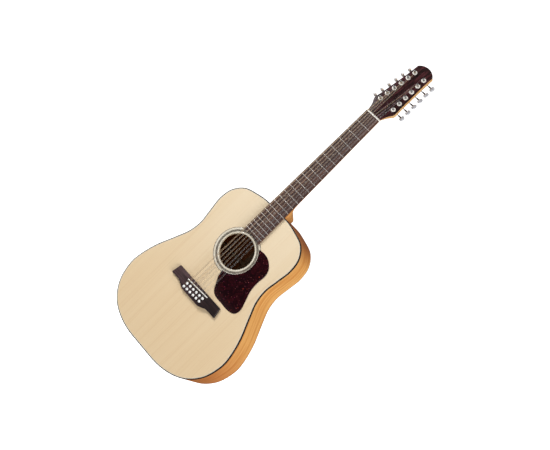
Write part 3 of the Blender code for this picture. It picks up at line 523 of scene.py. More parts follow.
def post_place(side, number):
    offset = between(POST_OFFSET_FIRST, POST_OFFSET_LAST, number / 5)
    return side * offset, TUNER_FIRST + number * TUNER_STEP


def pin_places():
    """Centres of the twelve bridge pins as (course, row, x, y); row 0 is nearer the saddle."""
    places = []
    for course in range(6):
        x = (course - 2.5) * PIN_SPACING
        for row, (y, shift) in enumerate(((PIN_FRONT_ROW, 0.0), (PIN_BACK_ROW, PIN_BACK_ROW_SHIFT))):
            places.append((course, row, x + shift, y + SADDLE_SLANT * x))
    return places


def pair_side(row):
    """The side of its pair that a string is on, -1 or 1."""
    return 1 if row == 0 else -1


def pair_x(course, row, spacing, gap):
    return (course - 2.5) * spacing + pair_side(row) * gap / 2


def string_post(course, row):
    """Which tuner a string goes to, as (side, number); the outer courses take the tuners by the nut."""
    side = -1 if course < 3 else 1
    number = 2 * (course if side < 0 else 5 - course) + (0 if pair_side(row) == side else 1)
    return side, number


def string_radius(course, row):
    return COURSE_RADII[course][1 - row]


def string_nut_place(course, row):
    x = pair_x(course, row, COURSE_SPACING_NUT, PAIR_GAP_NUT)
    return x, NUT_HEIGHT - x * x / (2 * FRETBOARD_CAMBER_RADIUS) + string_radius(course, row) + GAP


# Materials

class Nodes:
    """A node tree in the making, with short names for the nodes it uses."""

    def __init__(self, tree):
        self.tree = tree

    def set(self, socket, value):
        if isinstance(value, bpy.types.NodeSocket):
            self.tree.links.new(value, socket)
        else:
            socket.default_value = value

    def node(self, kind, inputs, **settings):
        made = self.tree.nodes.new("ShaderNode" + kind)
        for key, value in settings.items():
            setattr(made, key, value)
        for key, value in inputs.items():
            self.set(made.inputs[key], value)
        return made

    def maths(self, operation, a, b=0.0):
        return self.node("Math", {0: a, 1: b}, operation=operation).outputs[0]

    def ramp(self, value, low, high, start=0.0, end=1.0):
        """Goes smoothly from start to end as value goes from low to high, and stays there."""
        inputs = {"Value": value, "From Min": low, "From Max": high, "To Min": start, "To Max": end}
        return self.node("MapRange", inputs, interpolation_type="SMOOTHSTEP").outputs["Result"]

    def part(self, vector, axis):
        return self.node("SeparateXYZ", {0: vector}).outputs[axis]


class Look(Nodes):
    """One material in the making: its patterns are read at self.spot and its colour builds up."""

    def __init__(self, name, colour, **values):
        self.material = bpy.data.materials.new(name)
        self.material.use_nodes = True
        super().__init__(self.material.node_tree)
        self.shader = self.tree.nodes["Principled BSDF"].inputs
        self.spot = None
        self.colour = colour
        for socket, value in values.items():
            self.set(self.shader[socket.replace("_", " ")], value)

    def mix(self, share, a, b, blend="MIX"):
        inputs = {0: share, 6: a, 7: b}
        return self.node("Mix", inputs, data_type="RGBA", blend_type=blend).outputs[2]

    def tint(self, share, colour, strength=None, blend="MIX"):
        """Takes the colour towards another where the share is high."""
        if strength is not None:
            share = self.maths("MULTIPLY", share, strength)
        self.colour = self.mix(share, self.colour, colour, blend)

    def shade(self, share, colour, strength=None):
        self.tint(share, colour, strength, "MULTIPLY")

    def place(self):
        if self.spot is None:
            self.spot = self.node("TexCoord", {}).outputs["Object"]
        return self.spot

    def bookmatch(self):
        """Mirrors the patterns about the centre line, as in a board made of two matched halves."""
        parts = self.node("SeparateXYZ", {0: self.place()}).outputs
        inputs = {"X": self.maths("ABSOLUTE", parts["X"]), "Y": parts["Y"], "Z": parts["Z"]}
        self.spot = self.node("CombineXYZ", inputs).outputs[0]

    def where(self, axis):
        return self.part(self.place(), axis)

    def attribute(self, name, output):
        return self.node("Attribute", {}, attribute_name=name).outputs[output]

    def scaled(self, sizes, start=(0.0, 0.0, 0.0)):
        """Places in a pattern whose features have the given sizes, in millimetres along X, Y and Z."""
        scale = tuple(1000.0 / size for size in sizes)
        inputs = {"Vector": self.place(), "Location": start, "Scale": scale}
        return self.node("Mapping", inputs).outputs[0]

    def noise(self, sizes, detail=2.0, rough=0.5, bend=0.0):
        spot = self.scaled(sizes)
        inputs = {"Vector": spot, "Scale": 1.0, "Detail": detail, "Roughness": rough, "Distortion": bend}
        return self.node("TexNoise", inputs).outputs["Fac"]

    def cells(self, size, start):
        """Chips of one size: the distance from each chip's middle, and three numbers of the chip's own."""
        inputs = {"Vector": self.scaled((size,) * 3, start), "Scale": 1.0}
        outputs = self.node("TexVoronoi", inputs).outputs
        return outputs["Distance"], self.node("SeparateColor", {0: outputs["Color"]}).outputs

    def bump(self, height, distance, strength):
        inputs = {"Height": height, "Distance": distance, "Strength": strength}
        self.set(self.shader["Normal"], self.node("Bump", inputs).outputs[0])

    def grooves(self, open_pores, depth, strength):
        self.bump(self.maths("SUBTRACT", 1.0, open_pores), depth, strength)

    def roughness(self, value, low, high):
        span = {"Value": value, "To Min": low, "To Max": high}
        self.set(self.shader["Roughness"], self.node("MapRange", span).outputs["Result"])

    def finish(self):
        self.set(self.shader["Base Color"], self.colour)
        return self.material


def rgb(red, green, blue):
    """A colour given as it looks on a screen, 0 to 255."""
    shares = [value / 255.0 for value in (red, green, blue)]
    linear = [v / 12.92 if v <= 0.04045 else ((v + 0.055) / 1.055) ** 2.4 for v in shares]
    return (*linear, 1.0)


def along(axis, across, length):
    """Feature sizes in millimetres for grain that runs along one axis."""
    return tuple(length if axis == name else across for name in "XYZ")


def spruce(name, light, dark, matched=True):
    """Fine straight growth rings, a few broader warm bands, a silky cross figure, and painted shade lower
    down.
    """
    look = Look(name, light, Specular_IOR_Level=0.45)
    if matched:
        look.bookmatch()
    bands = look.noise(along("Z", 24.0, 900.0))
    streaks = look.noise(along("Z", 4.5, 420.0), detail=3.0, rough=0.6)
    rings = look.noise(along("Z", 1.1, 240.0), rough=0.45)
    silk = look.noise((5.0, 5.0, 1.6), detail=3.0, rough=0.6)
    look.tint(look.ramp(bands, 0.30, 0.80), dark, 0.26)
    # painted shade: warmer and darker towards the bottom
    look.shade(1.0, look.mix(look.ramp(look.where("Z"), -0.36, -0.80), WHITE, LOW_TOP_PAINTED_SHADE))
    look.shade(look.ramp(streaks, 0.50, 0.72), STREAK_TINT, 0.30)
    look.shade(look.ramp(rings, 0.56, 0.74), dark, 0.22)
    look.tint(look.ramp(silk, 0.35, 0.75), light, 0.06, "SCREEN")
    look.roughness(rings, 0.36, 0.46)
    look.bump(rings, 0.00004, 0.5)
    return look.finish()


def mahogany(name, light, dark, bent=False, strength=1.0, matched=False, low_painted_shade=None):
    """Warm satin wood with a ribbon figure and short open pores along the grain. Bent sides get painted
    shade towards the shoulder and the tail, the optional low colour is painted shade lower down, and faces
    inside the body get painted shade.
    """
    look = Look(name, light, Specular_IOR_Level=0.15 if bent else 0.4)
    axis = "X" if bent else "Z"
    if bent:
        look.spot = look.attribute("grain", "Vector")
    elif matched:
        look.bookmatch()
    ribbon = look.noise(along(axis, 9.0, 130.0), detail=3.0, rough=0.55, bend=0.3)
    streaks = look.noise(along(axis, 2.2, 70.0), detail=3.0, rough=0.6)
    pores = look.noise(along(axis, 0.42, 5.5), detail=1.0, rough=0.4)
    open_pores = look.ramp(pores, 0.62, 0.74)
    look.tint(look.ramp(ribbon, 0.30, 0.72), dark)
    look.shade(look.ramp(streaks, 0.50, 0.78), dark, 0.35 * strength)
    look.shade(open_pores, dark, 0.45 * strength)
    if bent:
        # painted shade: the sides darken towards the shoulder and towards the tail end
        look.shade(look.ramp(look.where("X"), 0.165, 0.09), SHOULDER_PAINTED_SHADE)
        look.shade(look.ramp(look.where("X"), 0.38, 0.58), TAIL_PAINTED_SHADE)
    if low_painted_shade:
        # painted shade: the wood darkens lower down
        look.shade(look.ramp(look.where("Z"), -0.05, -0.25), low_painted_shade)
    if bent or matched:
        # painted shade on the faces inside the body
        look.shade(look.attribute("inside", "Fac"), INSIDE_PAINTED_SHADE)
    look.roughness(streaks, 0.34, 0.48)
    look.grooves(open_pores, 0.00006, 0.6)
    return look.finish()


def rosewood(name, base, streak, axis="Z", rough=(0.42, 0.58), shine=0.45, treble_painted_shade=False):
    """Dark open-grained wood with purple and brown streaks; on request the board gets painted shade on its
    treble side.
    """
    look = Look(name, base, Specular_IOR_Level=shine)
    bands = look.noise(along(axis, 7.0, 260.0), detail=4.0, rough=0.6, bend=0.4)
    fine = look.noise(along(axis, 1.1, 40.0), detail=3.0, rough=0.6)
    pores = look.noise(along(axis, 0.45, 4.5), detail=1.0)
    look.tint(look.ramp(bands, 0.40, 0.70), streak)
    look.shade(look.ramp(fine, 0.48, 0.75), base, 0.55)
    if treble_painted_shade:
        # painted shade on the treble side
        look.shade(look.ramp(look.where("X"), -0.03, 0.06), TREBLE_PAINTED_SHADE)
    look.roughness(fine, *rough)
    look.grooves(look.ramp(pores, 0.60, 0.74), 0.00005, 0.5)
    return look.finish()


def tortoise(name):
    """Deep burgundy celluloid, blotched and flecked under a polished face."""
    look = Look(
        name, rgb(26, 4, 9), Roughness=0.14, Coat_Weight=0.3, Coat_Roughness=0.06, Specular_IOR_Level=0.35
    )
    cloud = look.noise((16.0, 16.0, 16.0), detail=3.0, rough=0.65, bend=1.2)
    look.tint(look.ramp(cloud, 0.42, 0.74), rgb(54, 9, 17))
    for size, reach, chosen, fleck in (
        (9.0, 0.32, 0.70, rgb(150, 52, 34)),
        (6.0, 0.32, 0.62, rgb(108, 30, 66)),
        (4.5, 0.34, 0.66, rgb(176, 96, 96)),
    ):
        distance, pick = look.cells(size, (size, 0.0, size))
        near = look.maths("SUBTRACT", 1.0, look.ramp(distance, reach * 0.25, reach))
        look.tint(look.maths("MULTIPLY", near, look.ramp(pick[0], chosen, 1.0)), fleck, 0.8)
    return look.finish()


def shell(name):
    """Ring of grey-green shell chips with a soft pearly change of tint."""
    look = Look(name, rgb(100, 88, 76), Roughness=0.18, Coat_Weight=0.4, Coat_Roughness=0.05)
    _, pick = look.cells(4.0, (0.0, 0.0, 0.0))
    waves = look.noise((1.6, 1.6, 5.0), detail=3.0, bend=1.0)
    look.tint(pick[0], rgb(150, 138, 124))
    look.tint(pick[1], rgb(112, 122, 112), 0.30)
    look.tint(look.ramp(waves, 0.4, 0.7), rgb(186, 178, 164), 0.3)
    return look.finish()


def plastic(name, light, dark, rough, grain=30.0, coat=0.0, shine=0.5):
    """Moulded or sawn material with a faint change of tone and a fine surface."""
    look = Look(name, light, Coat_Weight=coat, Coat_Roughness=0.1, Specular_IOR_Level=shine)
    tone = look.noise((grain, grain, grain), detail=3.0)
    fine = look.noise((0.8, 0.8, 0.8))
    look.tint(look.ramp(tone, 0.35, 0.7), dark)
    look.roughness(fine, rough * 0.85, rough * 1.2)
    look.bump(fine, 0.00001, 0.4)
    return look.finish()


def metal(name, light, dark, rough, brushed=0.0, plate=1.0):
    """Plated or drawn metal with slight smears; brushed lines run along Z."""
    look = Look(name, light, Metallic=plate)
    smear = look.noise((6.0, 6.0, 6.0), detail=4.0, rough=0.6)
    look.tint(look.ramp(smear, 0.35, 0.75), dark)
    look.roughness(smear, rough * 0.7, rough * 1.4)
    if brushed:
        look.bump(look.noise((0.25, 0.25, 8.0), detail=1.0), 0.00001, brushed)
    return look.finish()


def wound(name, light, dark, pitch):
    """String wrapped in fine wire: close light and dark bands along its length, painted light on each turn
    and painted shade between turns.
    """
    look = Look(name, dark, Metallic=0.5)
    # painted light and shade of the winding's turns
    turns = look.maths("MULTIPLY", look.where("Z"), math.tau * 1000.0 / pitch)
    smear = look.noise((20.0, 20.0, 30.0))
    look.tint(look.ramp(look.maths("SINE", turns), -1.0, 1.0), light, 0.55)
    look.tint(smear, dark, 0.3)
    look.roughness(smear, 0.55, 0.68)
    return look.finish()


def make_looks():
    return {
        "spruce": spruce("spruce_top", rgb(246, 226, 193), rgb(230, 202, 158)),
        # painted shade: a darker copy of the top's spruce for the braces inside the body
        "painted_shade_brace_spruce": spruce("painted_shade_brace_spruce", rgb(150, 118, 84), rgb(120, 90, 60), matched=False),
        "side": mahogany("mahogany_sides", rgb(240, 182, 108), rgb(214, 145, 73), bent=True, strength=0.7),
        "back": mahogany("mahogany_back", rgb(222, 152, 82), rgb(186, 112, 50), matched=True),
        # the neck gets painted shade lower down, towards the body
        "neck": mahogany("mahogany_neck", rgb(240, 198, 140), rgb(216, 162, 100), low_painted_shade=LOW_NECK_PAINTED_SHADE),
        # painted shade: a darker copy of the mahogany for the blocks and linings inside the body
        "inner_wood": mahogany("inner_wood", rgb(140, 98, 62), rgb(112, 76, 46), strength=0.5),
        "fretboard": rosewood("fretboard_rosewood", rgb(66, 44, 40), rgb(112, 76, 62)),
        # the bridge gets painted shade on its treble side
        "bridge": rosewood(
            "bridge_rosewood", rgb(56, 38, 40), rgb(92, 68, 70), axis="X", shine=0.3, treble_painted_shade=True
        ),
        "veneer": rosewood(
            "headstock_rosewood", rgb(40, 24, 24), rgb(88, 46, 50), rough=(0.16, 0.24), shine=0.1
        ),
        "tortoise": tortoise("tortoise_plate"),
        "shell": shell("shell_ring"),
        "ivory": plastic("ivory_lines", rgb(240, 232, 214), rgb(228, 218, 196), rough=0.25, coat=0.2),
        "dark_line": plastic("dark_line", rgb(96, 92, 88), rgb(70, 66, 62), rough=0.3),
        "binding": plastic("dark_binding", rgb(44, 36, 34), rgb(30, 25, 24), rough=0.5, shine=0.15),
        "bone": plastic("bone", rgb(252, 250, 244), rgb(240, 236, 224), rough=0.3, grain=8.0, coat=0.1),
        "pin": plastic("pin_plastic", rgb(254, 254, 252), rgb(244, 244, 240), rough=0.25, coat=0.2),
        "pearl": plastic("pearl_dot", rgb(138, 122, 112), rgb(112, 98, 92), rough=0.3, grain=2.5),
        "chrome": metal("chrome", (0.80, 0.80, 0.82, 1.0), (0.66, 0.66, 0.69, 1.0), 0.26, plate=0.6),
        "post": metal("post_nickel", (0.30, 0.29, 0.28, 1.0), (0.20, 0.19, 0.19, 1.0), 0.24),
        # painted reflection: near-white plastic stands in for the bright shine of the nickel bushings
        "nickel": plastic("bushing_painted_shine", rgb(250, 246, 238), rgb(232, 228, 220), rough=0.25, coat=0.3),
        "gear": metal("gear_steel", (0.72, 0.70, 0.66, 1.0), (0.52, 0.50, 0.47, 1.0), 0.28, 0.3),
        "satin": metal("satin_chrome", (0.60, 0.60, 0.63, 1.0), (0.44, 0.44, 0.47, 1.0), 0.34, plate=0.35),
        # painted light: a paler, less metallic copy of the satin chrome for the edge-on bass knobs
        "satin_painted_light": metal(
            "satin_painted_light", (0.92, 0.92, 0.94, 1.0), (0.78, 0.78, 0.81, 1.0), 0.40, plate=0.2
        ),
        "shaft": plastic("blackened_steel", rgb(70, 68, 68), rgb(48, 46, 46), rough=0.35),
        "fret": metal("fret_wire", (0.55, 0.51, 0.48, 1.0), (0.44, 0.41, 0.38, 1.0), 0.42),
        "steel": metal("string_steel", (0.36, 0.35, 0.34, 1.0), (0.28, 0.27, 0.27, 1.0), 0.60, plate=0.5),
        "bronze": wound("string_bronze", (0.50, 0.38, 0.25, 1.0), (0.38, 0.28, 0.18, 1.0), 0.9),
    }


# Placing pieces

def mesh_object(name, shape, place, sharp):
    """An object with its points in the model's own frame and no transform of its own."""
    mesh = bpy.data.meshes.new(name)
    mesh.from_pydata([tuple(place @ Vector(point)) for point in shape[0]], [], shape[1])
    finish_mesh(mesh, sharp)
    made = bpy.data.objects.new(name, mesh)
    bpy.context.collection.objects.link(made)
    return made


def finish_mesh(mesh, sharp):
    """Faces turned outwards and shaded smooth, with edges over the sharp angle kept crisp."""
    work = bmesh.new()
    work.from_mesh(mesh)
    bmesh.ops.recalc_face_normals(work, faces=work.faces)
    work.to_mesh(mesh)
    work.free()
    mesh.shade_smooth()
    mesh.set_sharp_from_angle(angle=math.radians(sharp))


def settle(made, look, body, replaces):
    """Gives a new object its material, parents it to the body it rides on and hides the CAD nodes it stands
    for.
    """
    made.data.materials.clear()
    made.data.materials.append(LOOKS[look])
    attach(made, body)
    if replaces:
        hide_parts(*replaces)
    return made


def piece(name, shape, look, body=GUITAR, place=LYING, replaces=(), sharp=35.0, cutters=()):
    """A visible piece from a shape, in one call."""
    made = mesh_object(name, shape, place, sharp)
    if cutters:
        cut(made, cutters, place, sharp)
    return settle(made, look, body, replaces)


def cut(made, cutters, place, sharp):
    """Takes the cutters' shapes out of an object, one after another, and keeps the result."""
    tools = [mesh_object(made.name + "_cutter", shape, place, sharp) for shape in cutters]
    for tool in tools:
        change = made.modifiers.new("cut", "BOOLEAN")
        change.operation = "DIFFERENCE"
        change.solver = "EXACT"
        change.object = tool
    graph = bpy.context.evaluated_depsgraph_get()
    result = bpy.data.meshes.new_from_object(made.evaluated_get(graph))
    made.modifiers.clear()
    made.data = result
    finish_mesh(result, sharp)
    for tool in tools:
        bpy.data.objects.remove(tool, do_unlink=True)


def store(made, name, kind, values):
    """Keeps a value for each vertex of an object for its material to read."""
    attribute = made.data.attributes.new(name, kind, "POINT")
    attribute.data.foreach_set("vector" if kind == "FLOAT_VECTOR" else "value", values)


def wire(name, points, radius, look, body=GUITAR, place=LYING, replaces=(), sides=3):
    """A round wire through points, as a curve with filled ends."""
    curve = bpy.data.curves.new(name, "CURVE")
    curve.dimensions = "3D"
    curve.bevel_depth = radius
    curve.bevel_resolution = sides
    curve.use_fill_caps = True
    spline = curve.splines.new("POLY")
    spline.points.add(len(points) - 1)
    for target, point in zip(spline.points, points):
        target.co = (*(place @ Vector(point)), 1.0)
    made = bpy.data.objects.new(name, curve)
    bpy.context.collection.objects.link(made)
    return settle(made, look, body, replaces)


# The body

def wall(lines, heights):
    """Sections of a band: each point of the section is a line with its own height function."""
    return [
        [(point.x, point.y, height(point)) for point, height in zip(points, heights)]
        for points in zip(*lines)
    ]


def level(height):
    return lambda point: height


def above_back(lift):
    return lambda point: lift - back_depth(point.x, point.y)


def make_soundboard(outline):
    """A flat top with the soundhole, and a ledge round its rim that holds the purfling."""
    edge = inset(outline, SIDE_THICKNESS + PLATE_CLEARANCE)
    face = inset(outline, PURFLING_TO)
    centre = Vector((0.0, HOLE_Y))

    def hole(radius):
        return [centre + (point - centre).normalized() * radius for point in face]

    rim = hole(HOLE_RADIUS + HOLE_ROUNDING)
    lines = [rim] + [[a.lerp(b, share) for a, b in zip(rim, face)] for share in (0.25, 0.5, 0.75)]
    lines += [face, face, edge, edge, hole(HOLE_RADIUS), hole(HOLE_RADIUS)]
    drops = [0.0] * 5 + [INLAY_DEPTH, INLAY_DEPTH, TOP_THICKNESS, TOP_THICKNESS, HOLE_ROUNDING]
    shape = sweep(wall(lines, [level(-drop) for drop in drops]), closed=True)
    piece("guitar_top", shape, "spruce", replaces=["soundboard"])


def make_back(outline):
    """The arched back plate: rings shrunk towards its middle, inner face first, then outer face."""
    board = inset(outline, SIDE_THICKNESS + PLATE_CLEARANCE)
    middle = Vector((0.0, BACK_MIDDLE_Y))
    shares = [0.02, 0.08] + spread(0.16, 1.0, 13)
    rings = []
    for lift, order in ((BACK_THICKNESS, shares), (0.0, shares[::-1])):
        for share in order:
            points = [middle.lerp(point, share) for point in board]
            rings.append([(p.x, p.y, lift - back_depth(p.x, p.y)) for p in points])
    made = piece("guitar_back", sweep(rings), "back", replaces=["back_plate"])
    count = len(shares) * len(board)
    # the inside value marks the inner face, which the material darkens as painted shade
    store(made, "inside", "FLOAT", [1.0] * count + [0.0] * count)


def make_sides():
    """The two bent sides, which carry the distance along the bend as a grain attribute; their material
    reads it for the grain and for painted shade towards the shoulder and the tail.
    """
    half = body_half()
    half[0].x = TENON_HALF + GAP
    half[-1].x = 0.00005
    inner = inset(half, SIDE_THICKNESS, closed=False)
    rows = 9
    for name, sign in (("side_treble", 1), ("side_bass", -1)):
        rings = []
        grain = []
        for a, b, run in zip(half, inner, lengths_along(half)):
            low = BACK_BINDING_HEIGHT - back_depth(a.x, a.y)
            heights = [between(-BINDING_HEIGHT, low, share) for share in spread(0.0, 1.0, rows)]
            outer = [(sign * a.x, a.y, z) for z in heights]
            rings.append(outer + [(sign * b.x, b.y, z) for z in heights[::-1]])
            grain += [value for z in heights + heights[::-1] for value in (run, 0.3 * sign, z)]
        made = piece(f"bent_{name}", sweep(rings), "side", replaces=[name])
        store(made, "grain", "FLOAT_VECTOR", grain)
        # the inside value marks the inner faces, which the material darkens as painted shade
        store(made, "inside", "FLOAT", ([0.0] * rows + [1.0] * rows) * len(half))


def make_bindings(outline):
    """Dark edge strips with a rounded outer corner, and the pale purfling line inside the front one."""
    inner = inset(outline, SIDE_THICKNESS)
    corner = rounding(BINDING_ROUNDING, 4)
    for name, node, depth, height in (
        ("front_binding", "binding_top", BINDING_HEIGHT, lambda drop: level(-drop)),
        ("back_binding", "binding_back", BACK_BINDING_HEIGHT, above_back),
    ):
        lines = [outline] + [inset(outline, inwards) for inwards, _ in corner] + [inner, inner]
        drops = [depth] + [down for _, down in corner] + [0.0, depth]
        shape = sweep(wall(lines, [height(drop) for drop in drops]), closed=True)
        piece(name, shape, "binding", replaces=[node])
    near = inset(outline, PURFLING_FROM)
    far = inset(outline, PURFLING_TO - INLAY_CLEARANCE)
    high = level(PURFLING_RISE)
    low = level(INLAY_CLEARANCE - INLAY_DEPTH)
    shape = sweep(wall([near, far, far, near], [high, high, low, low]), closed=True)
    piece("front_purfling", shape, "ivory")


def make_rosette():
    """Thin rings let in round the soundhole, with a slight edge to each."""
    rise = ROSETTE_RISE
    for name, inner, outer, look in ROSETTE:
        profile = [(outer, -ROSETTE_DEPTH), (outer, rise / 2), (outer - rise, rise)]
        profile += [(inner + rise, rise), (inner, rise / 2)]
        piece(name, moved(tube(inner, profile, 128), at(0.0, HOLE_Y)), look)


def make_pickguard():
    """A thin plate on the pickguard's curve, cut away in an arc round the rosette."""
    lead = [PICKGUARD_CURVE[1], *PICKGUARD_CURVE, PICKGUARD_CURVE[-2]]
    outer = evenly(catmull_rom(lead, 16), 150)
    centre = Vector((0.0, HOLE_Y))
    start = outer[-1] - centre
    end = outer[0] - centre
    turns = spread(math.atan2(start.y, start.x), math.atan2(end.y, end.x), 60)
    arc = [centre + Vector((math.cos(a), math.sin(a))) * PICKGUARD_HOLE_RADIUS for a in turns]
    shape = slab(outer[1:-1] + arc, PICKGUARD_THICKNESS, PICKGUARD_ROUNDING)
    piece("tortoise_pickguard", shape, "tortoise", replaces=["pickguard"], sharp=40.0)


# The bridge

def bridge_section(share):
    """One cross-section of the bridge; share runs from -1 at the bass end to 1 at the treble end."""
    reach = abs(share)
    width = between(BRIDGE_WIDTH_BELLY, BRIDGE_WIDTH_END, swing(reach, BELLY_FROM, BELLY_TO))
    height = between(BRIDGE_HEIGHT, BRIDGE_WING_HEIGHT, swing(reach, WING_FROM, WING_TO))
    height -= BRIDGE_END_DROP * clamp((reach - BRIDGE_END_FROM) / (1.0 - BRIDGE_END_FROM)) ** 2
    front = share * BRIDGE_HALF_FRONT
    back = share * BRIDGE_HALF_BACK
    corner = rounding(BRIDGE_ROUNDING, 4)
    points = [(front, BRIDGE_FRONT, 0.0)]
    points += [(front, BRIDGE_FRONT - inwards, height - down) for inwards, down in corner]
    points += [(back, BRIDGE_FRONT - width + inwards, height - down) for inwards, down in reversed(corner)]
    return points + [(back, BRIDGE_FRONT - width, 0.0)]


def saddle_blade(half, half_thickness, low, end_top, middle_top, rounded):
    """A blade along the slanted saddle line, with its top a little higher in the middle."""
    rings = []
    for share in spread(-1.0, 1.0, 25):
        x = share * half
        top = between(middle_top, end_top, share * share)
        section = [(-half_thickness, low), (half_thickness, low)]
        section += arch(half_thickness, rounded, top - rounded, 6)
        rings.append([(x, SADDLE_Y + SADDLE_SLANT * x + aside, z) for aside, z in section])
    return sweep(rings)


def make_bridge():
    """The bridge with its saddle slot and pin holes, the saddle and the pins."""
    half = SADDLE_THICKNESS / 2
    slot = saddle_blade(SADDLE_HALF + GAP, half + GAP / 2, SADDLE_SEAT - GAP, 0.02, 0.02, 0.0005)
    profile = [(PIN_HOLE_RADIUS, -0.002), (PIN_HOLE_RADIUS, BRIDGE_HEIGHT - 0.0008)]
    profile += [(PIN_HOLE_RADIUS + 0.0010, BRIDGE_HEIGHT + 0.0004)]
    holes = joined([moved(turned(profile, 24), at(x, y)) for _, _, x, y in pin_places()])
    shape = sweep([bridge_section(share) for share in spread(-1.0, 1.0, 121)])
    piece("rosewood_bridge", shape, "bridge", replaces=["bridge"], cutters=[slot, holes])
    shape = saddle_blade(SADDLE_HALF, half, SADDLE_SEAT, SADDLE_TOP - SADDLE_CROWN, SADDLE_TOP, 0.0010)
    piece("bone_saddle", shape, "bone", replaces=["saddle"])
    for course, row, x, y in pin_places():
        make_pin(f"bridge_pin_{2 * course + row + 1}", x, y)


def make_pin(name, x, y):
    """A tapered pin with a domed head sunk a little into its countersunk hole."""
    profile = [(0.0021, -PIN_LENGTH), (0.0025, -0.0010), (0.0027, -0.0002)]
    profile += [(PIN_HEAD_RADIUS - 0.0005, 0.0002), (PIN_HEAD_RADIUS, 0.0008)]
    for turn in [math.pi / 2 * step / 6.6 for step in range(7)]:
        profile.append((PIN_HEAD_RADIUS * math.cos(turn), PIN_HEAD_RIM + PIN_HEAD_DOME * math.sin(turn)))
    piece(name, moved(turned(profile, 28), at(x, y, BRIDGE_HEIGHT)), "pin", sharp=50.0)


# The fretboard, frets and nut

def make_fretboard():
    """A cambered board that widens from the nut and ends in a curve round the soundhole."""
    shares = spread(-1.0, 1.0, 17)
    half_end = fretboard_half(fret_y(FRET_COUNT))
    last = [HOLE_Y + math.sqrt(FRETBOARD_END_RADIUS**2 - (share * half_end) ** 2) for share in shares]
    stations = [[y] * len(shares) for y in spread(SCALE_LENGTH, FRETBOARD_END_CURVE, 24)]
    stations += [[between(a, b, ease(t)) for a, b in zip(stations[-1], last)] for t in (0.5, 1.0)]
    rings = []
    for places in stations:
        low = []
        high = []
        for y, share in zip(places, shares):
            x = share * fretboard_half(y)
            low.append((x, y, 0.0))
            high.append((x, y, fretboard_top(x) - (0.0003 if abs(share) == 1.0 else 0.0)))
        rings.append(low + high[::-1])
    piece("rosewood_fretboard", sweep(rings), "fretboard", replaces=["fretboard"])


def make_frets():
    """Crowned fret wires that follow the camber and are filed down at their ends."""
    for number in range(1, FRET_COUNT + 1):
        y = fret_y(number)
        half = fretboard_half(y) - 0.0002
        rings = []
        for share in [-1.0, -0.985] + spread(-0.96, 0.96, 13) + [0.985, 1.0]:
            base = fretboard_top(share * half)
            rise = FRET_HEIGHT * min(1.0, 0.25 + (1.0 - abs(share)) * 18.0)
            section = [(FRET_HALF_WIDTH, base - FRET_FOOT)]
            section += arch(FRET_HALF_WIDTH, rise, base, 8)
            section.append((-FRET_HALF_WIDTH, base - FRET_FOOT))
            rings.append([(share * half, y + aside, z) for aside, z in section])
        piece(f"fret_{number}", sweep(rings), "fret", sharp=50.0)


def make_dots():
    """Round pearl markers let in between the frets, two at the octave."""
    profile = [(DOT_RADIUS, -0.0010), (DOT_RADIUS, 0.00003), (DOT_RADIUS * 0.5, 0.00007)]
    for number in DOT_FRETS:
        y = (fret_y(number) + fret_y(number - 1)) / 2
        places = (("", 0.0),)
        if number == OCTAVE_FRET:
            places = (("_bass", -OCTAVE_DOT_SIDE), ("_treble", OCTAVE_DOT_SIDE))
        for suffix, x in places:
            lean = Matrix.Rotation(math.asin(x / FRETBOARD_CAMBER_RADIUS), 4, "Y")
            shape = moved(turned(profile, 24), at(x, y, fretboard_top(x)) @ lean)
            piece(f"marker_{number}{suffix}", shape, "pearl")


def make_nut():
    """The nut, with a round-bottomed slot for each of the twelve strings."""
    half = NUT_WIDTH / 2
    strings = [(course, row) for course in range(6) for row in (0, 1)]
    slots = [(*string_nut_place(*string), string_radius(*string)) for string in strings]
    rings = []
    near = SCALE_LENGTH
    far = near + NUT_THICKNESS
    for x in spread(-half, half, 321):
        camber = x * x / (2 * FRETBOARD_CAMBER_RADIUS)
        top = NUT_HEIGHT - camber + 0.0007 - 0.0010 * max(0.0, (abs(x) - half + 0.0015) / 0.0015) ** 2
        for place, height, radius in slots:
            aside = abs(x - place) / (radius + 0.00005)
            if aside < 1.0:
                top = min(top, height - radius * math.sqrt(1.0 - aside * aside))
        section = ((near, 0.0), (far, 0.0), (far, top - 0.0018), (far - 0.0006, top - 0.0008))
        section += ((near + 0.0012, top - 0.0001), (near, top))
        rings.append([(x, y, z) for y, z in section])
    piece("bone_nut", sweep(rings), "bone", replaces=["nut"], sharp=40.0)


# The neck and headstock

def neck_profile(power_across, power_down):
    """Half of a rounded neck section from its edge to its keel, as (width share, depth share)."""
    turns = spread(0.0, math.pi / 2, NECK_STEPS + 1)
    return [(math.cos(a) ** power_across, math.sin(a) ** power_down) for a in turns]


def heel_profile():
    """Half of the heel's section: it narrows steadily to its flat cap."""
    cap = HEEL_CAP_SHARE
    walls = [(1.0, -0.2), (1.0, 0.0), (0.97, 0.2), (0.84, 0.45), (0.64, 0.75), (cap, 1.0), (0.36, 1.2)]
    curve = evenly(catmull_rom(walls, 8), NECK_STEPS - 4)
    return [tuple(p) for p in curve] + [(cap * (1.0 - share), 1.0) for share in (0.25, 0.5, 0.75, 1.0)]


def neck_section(half, depth, profile, place):
    """A whole section from half of its profile; place turns (across, out) into a point."""
    treble = [place(half * across, -depth * down) for across, down in profile]
    bass = [place(-half * across, -depth * down) for across, down in profile[:-1]]
    return bass + treble[::-1]


def blended(first, second, share):
    return [(between(a[0], b[0], share), between(a[1], b[1], share)) for a, b in zip(first, second)]


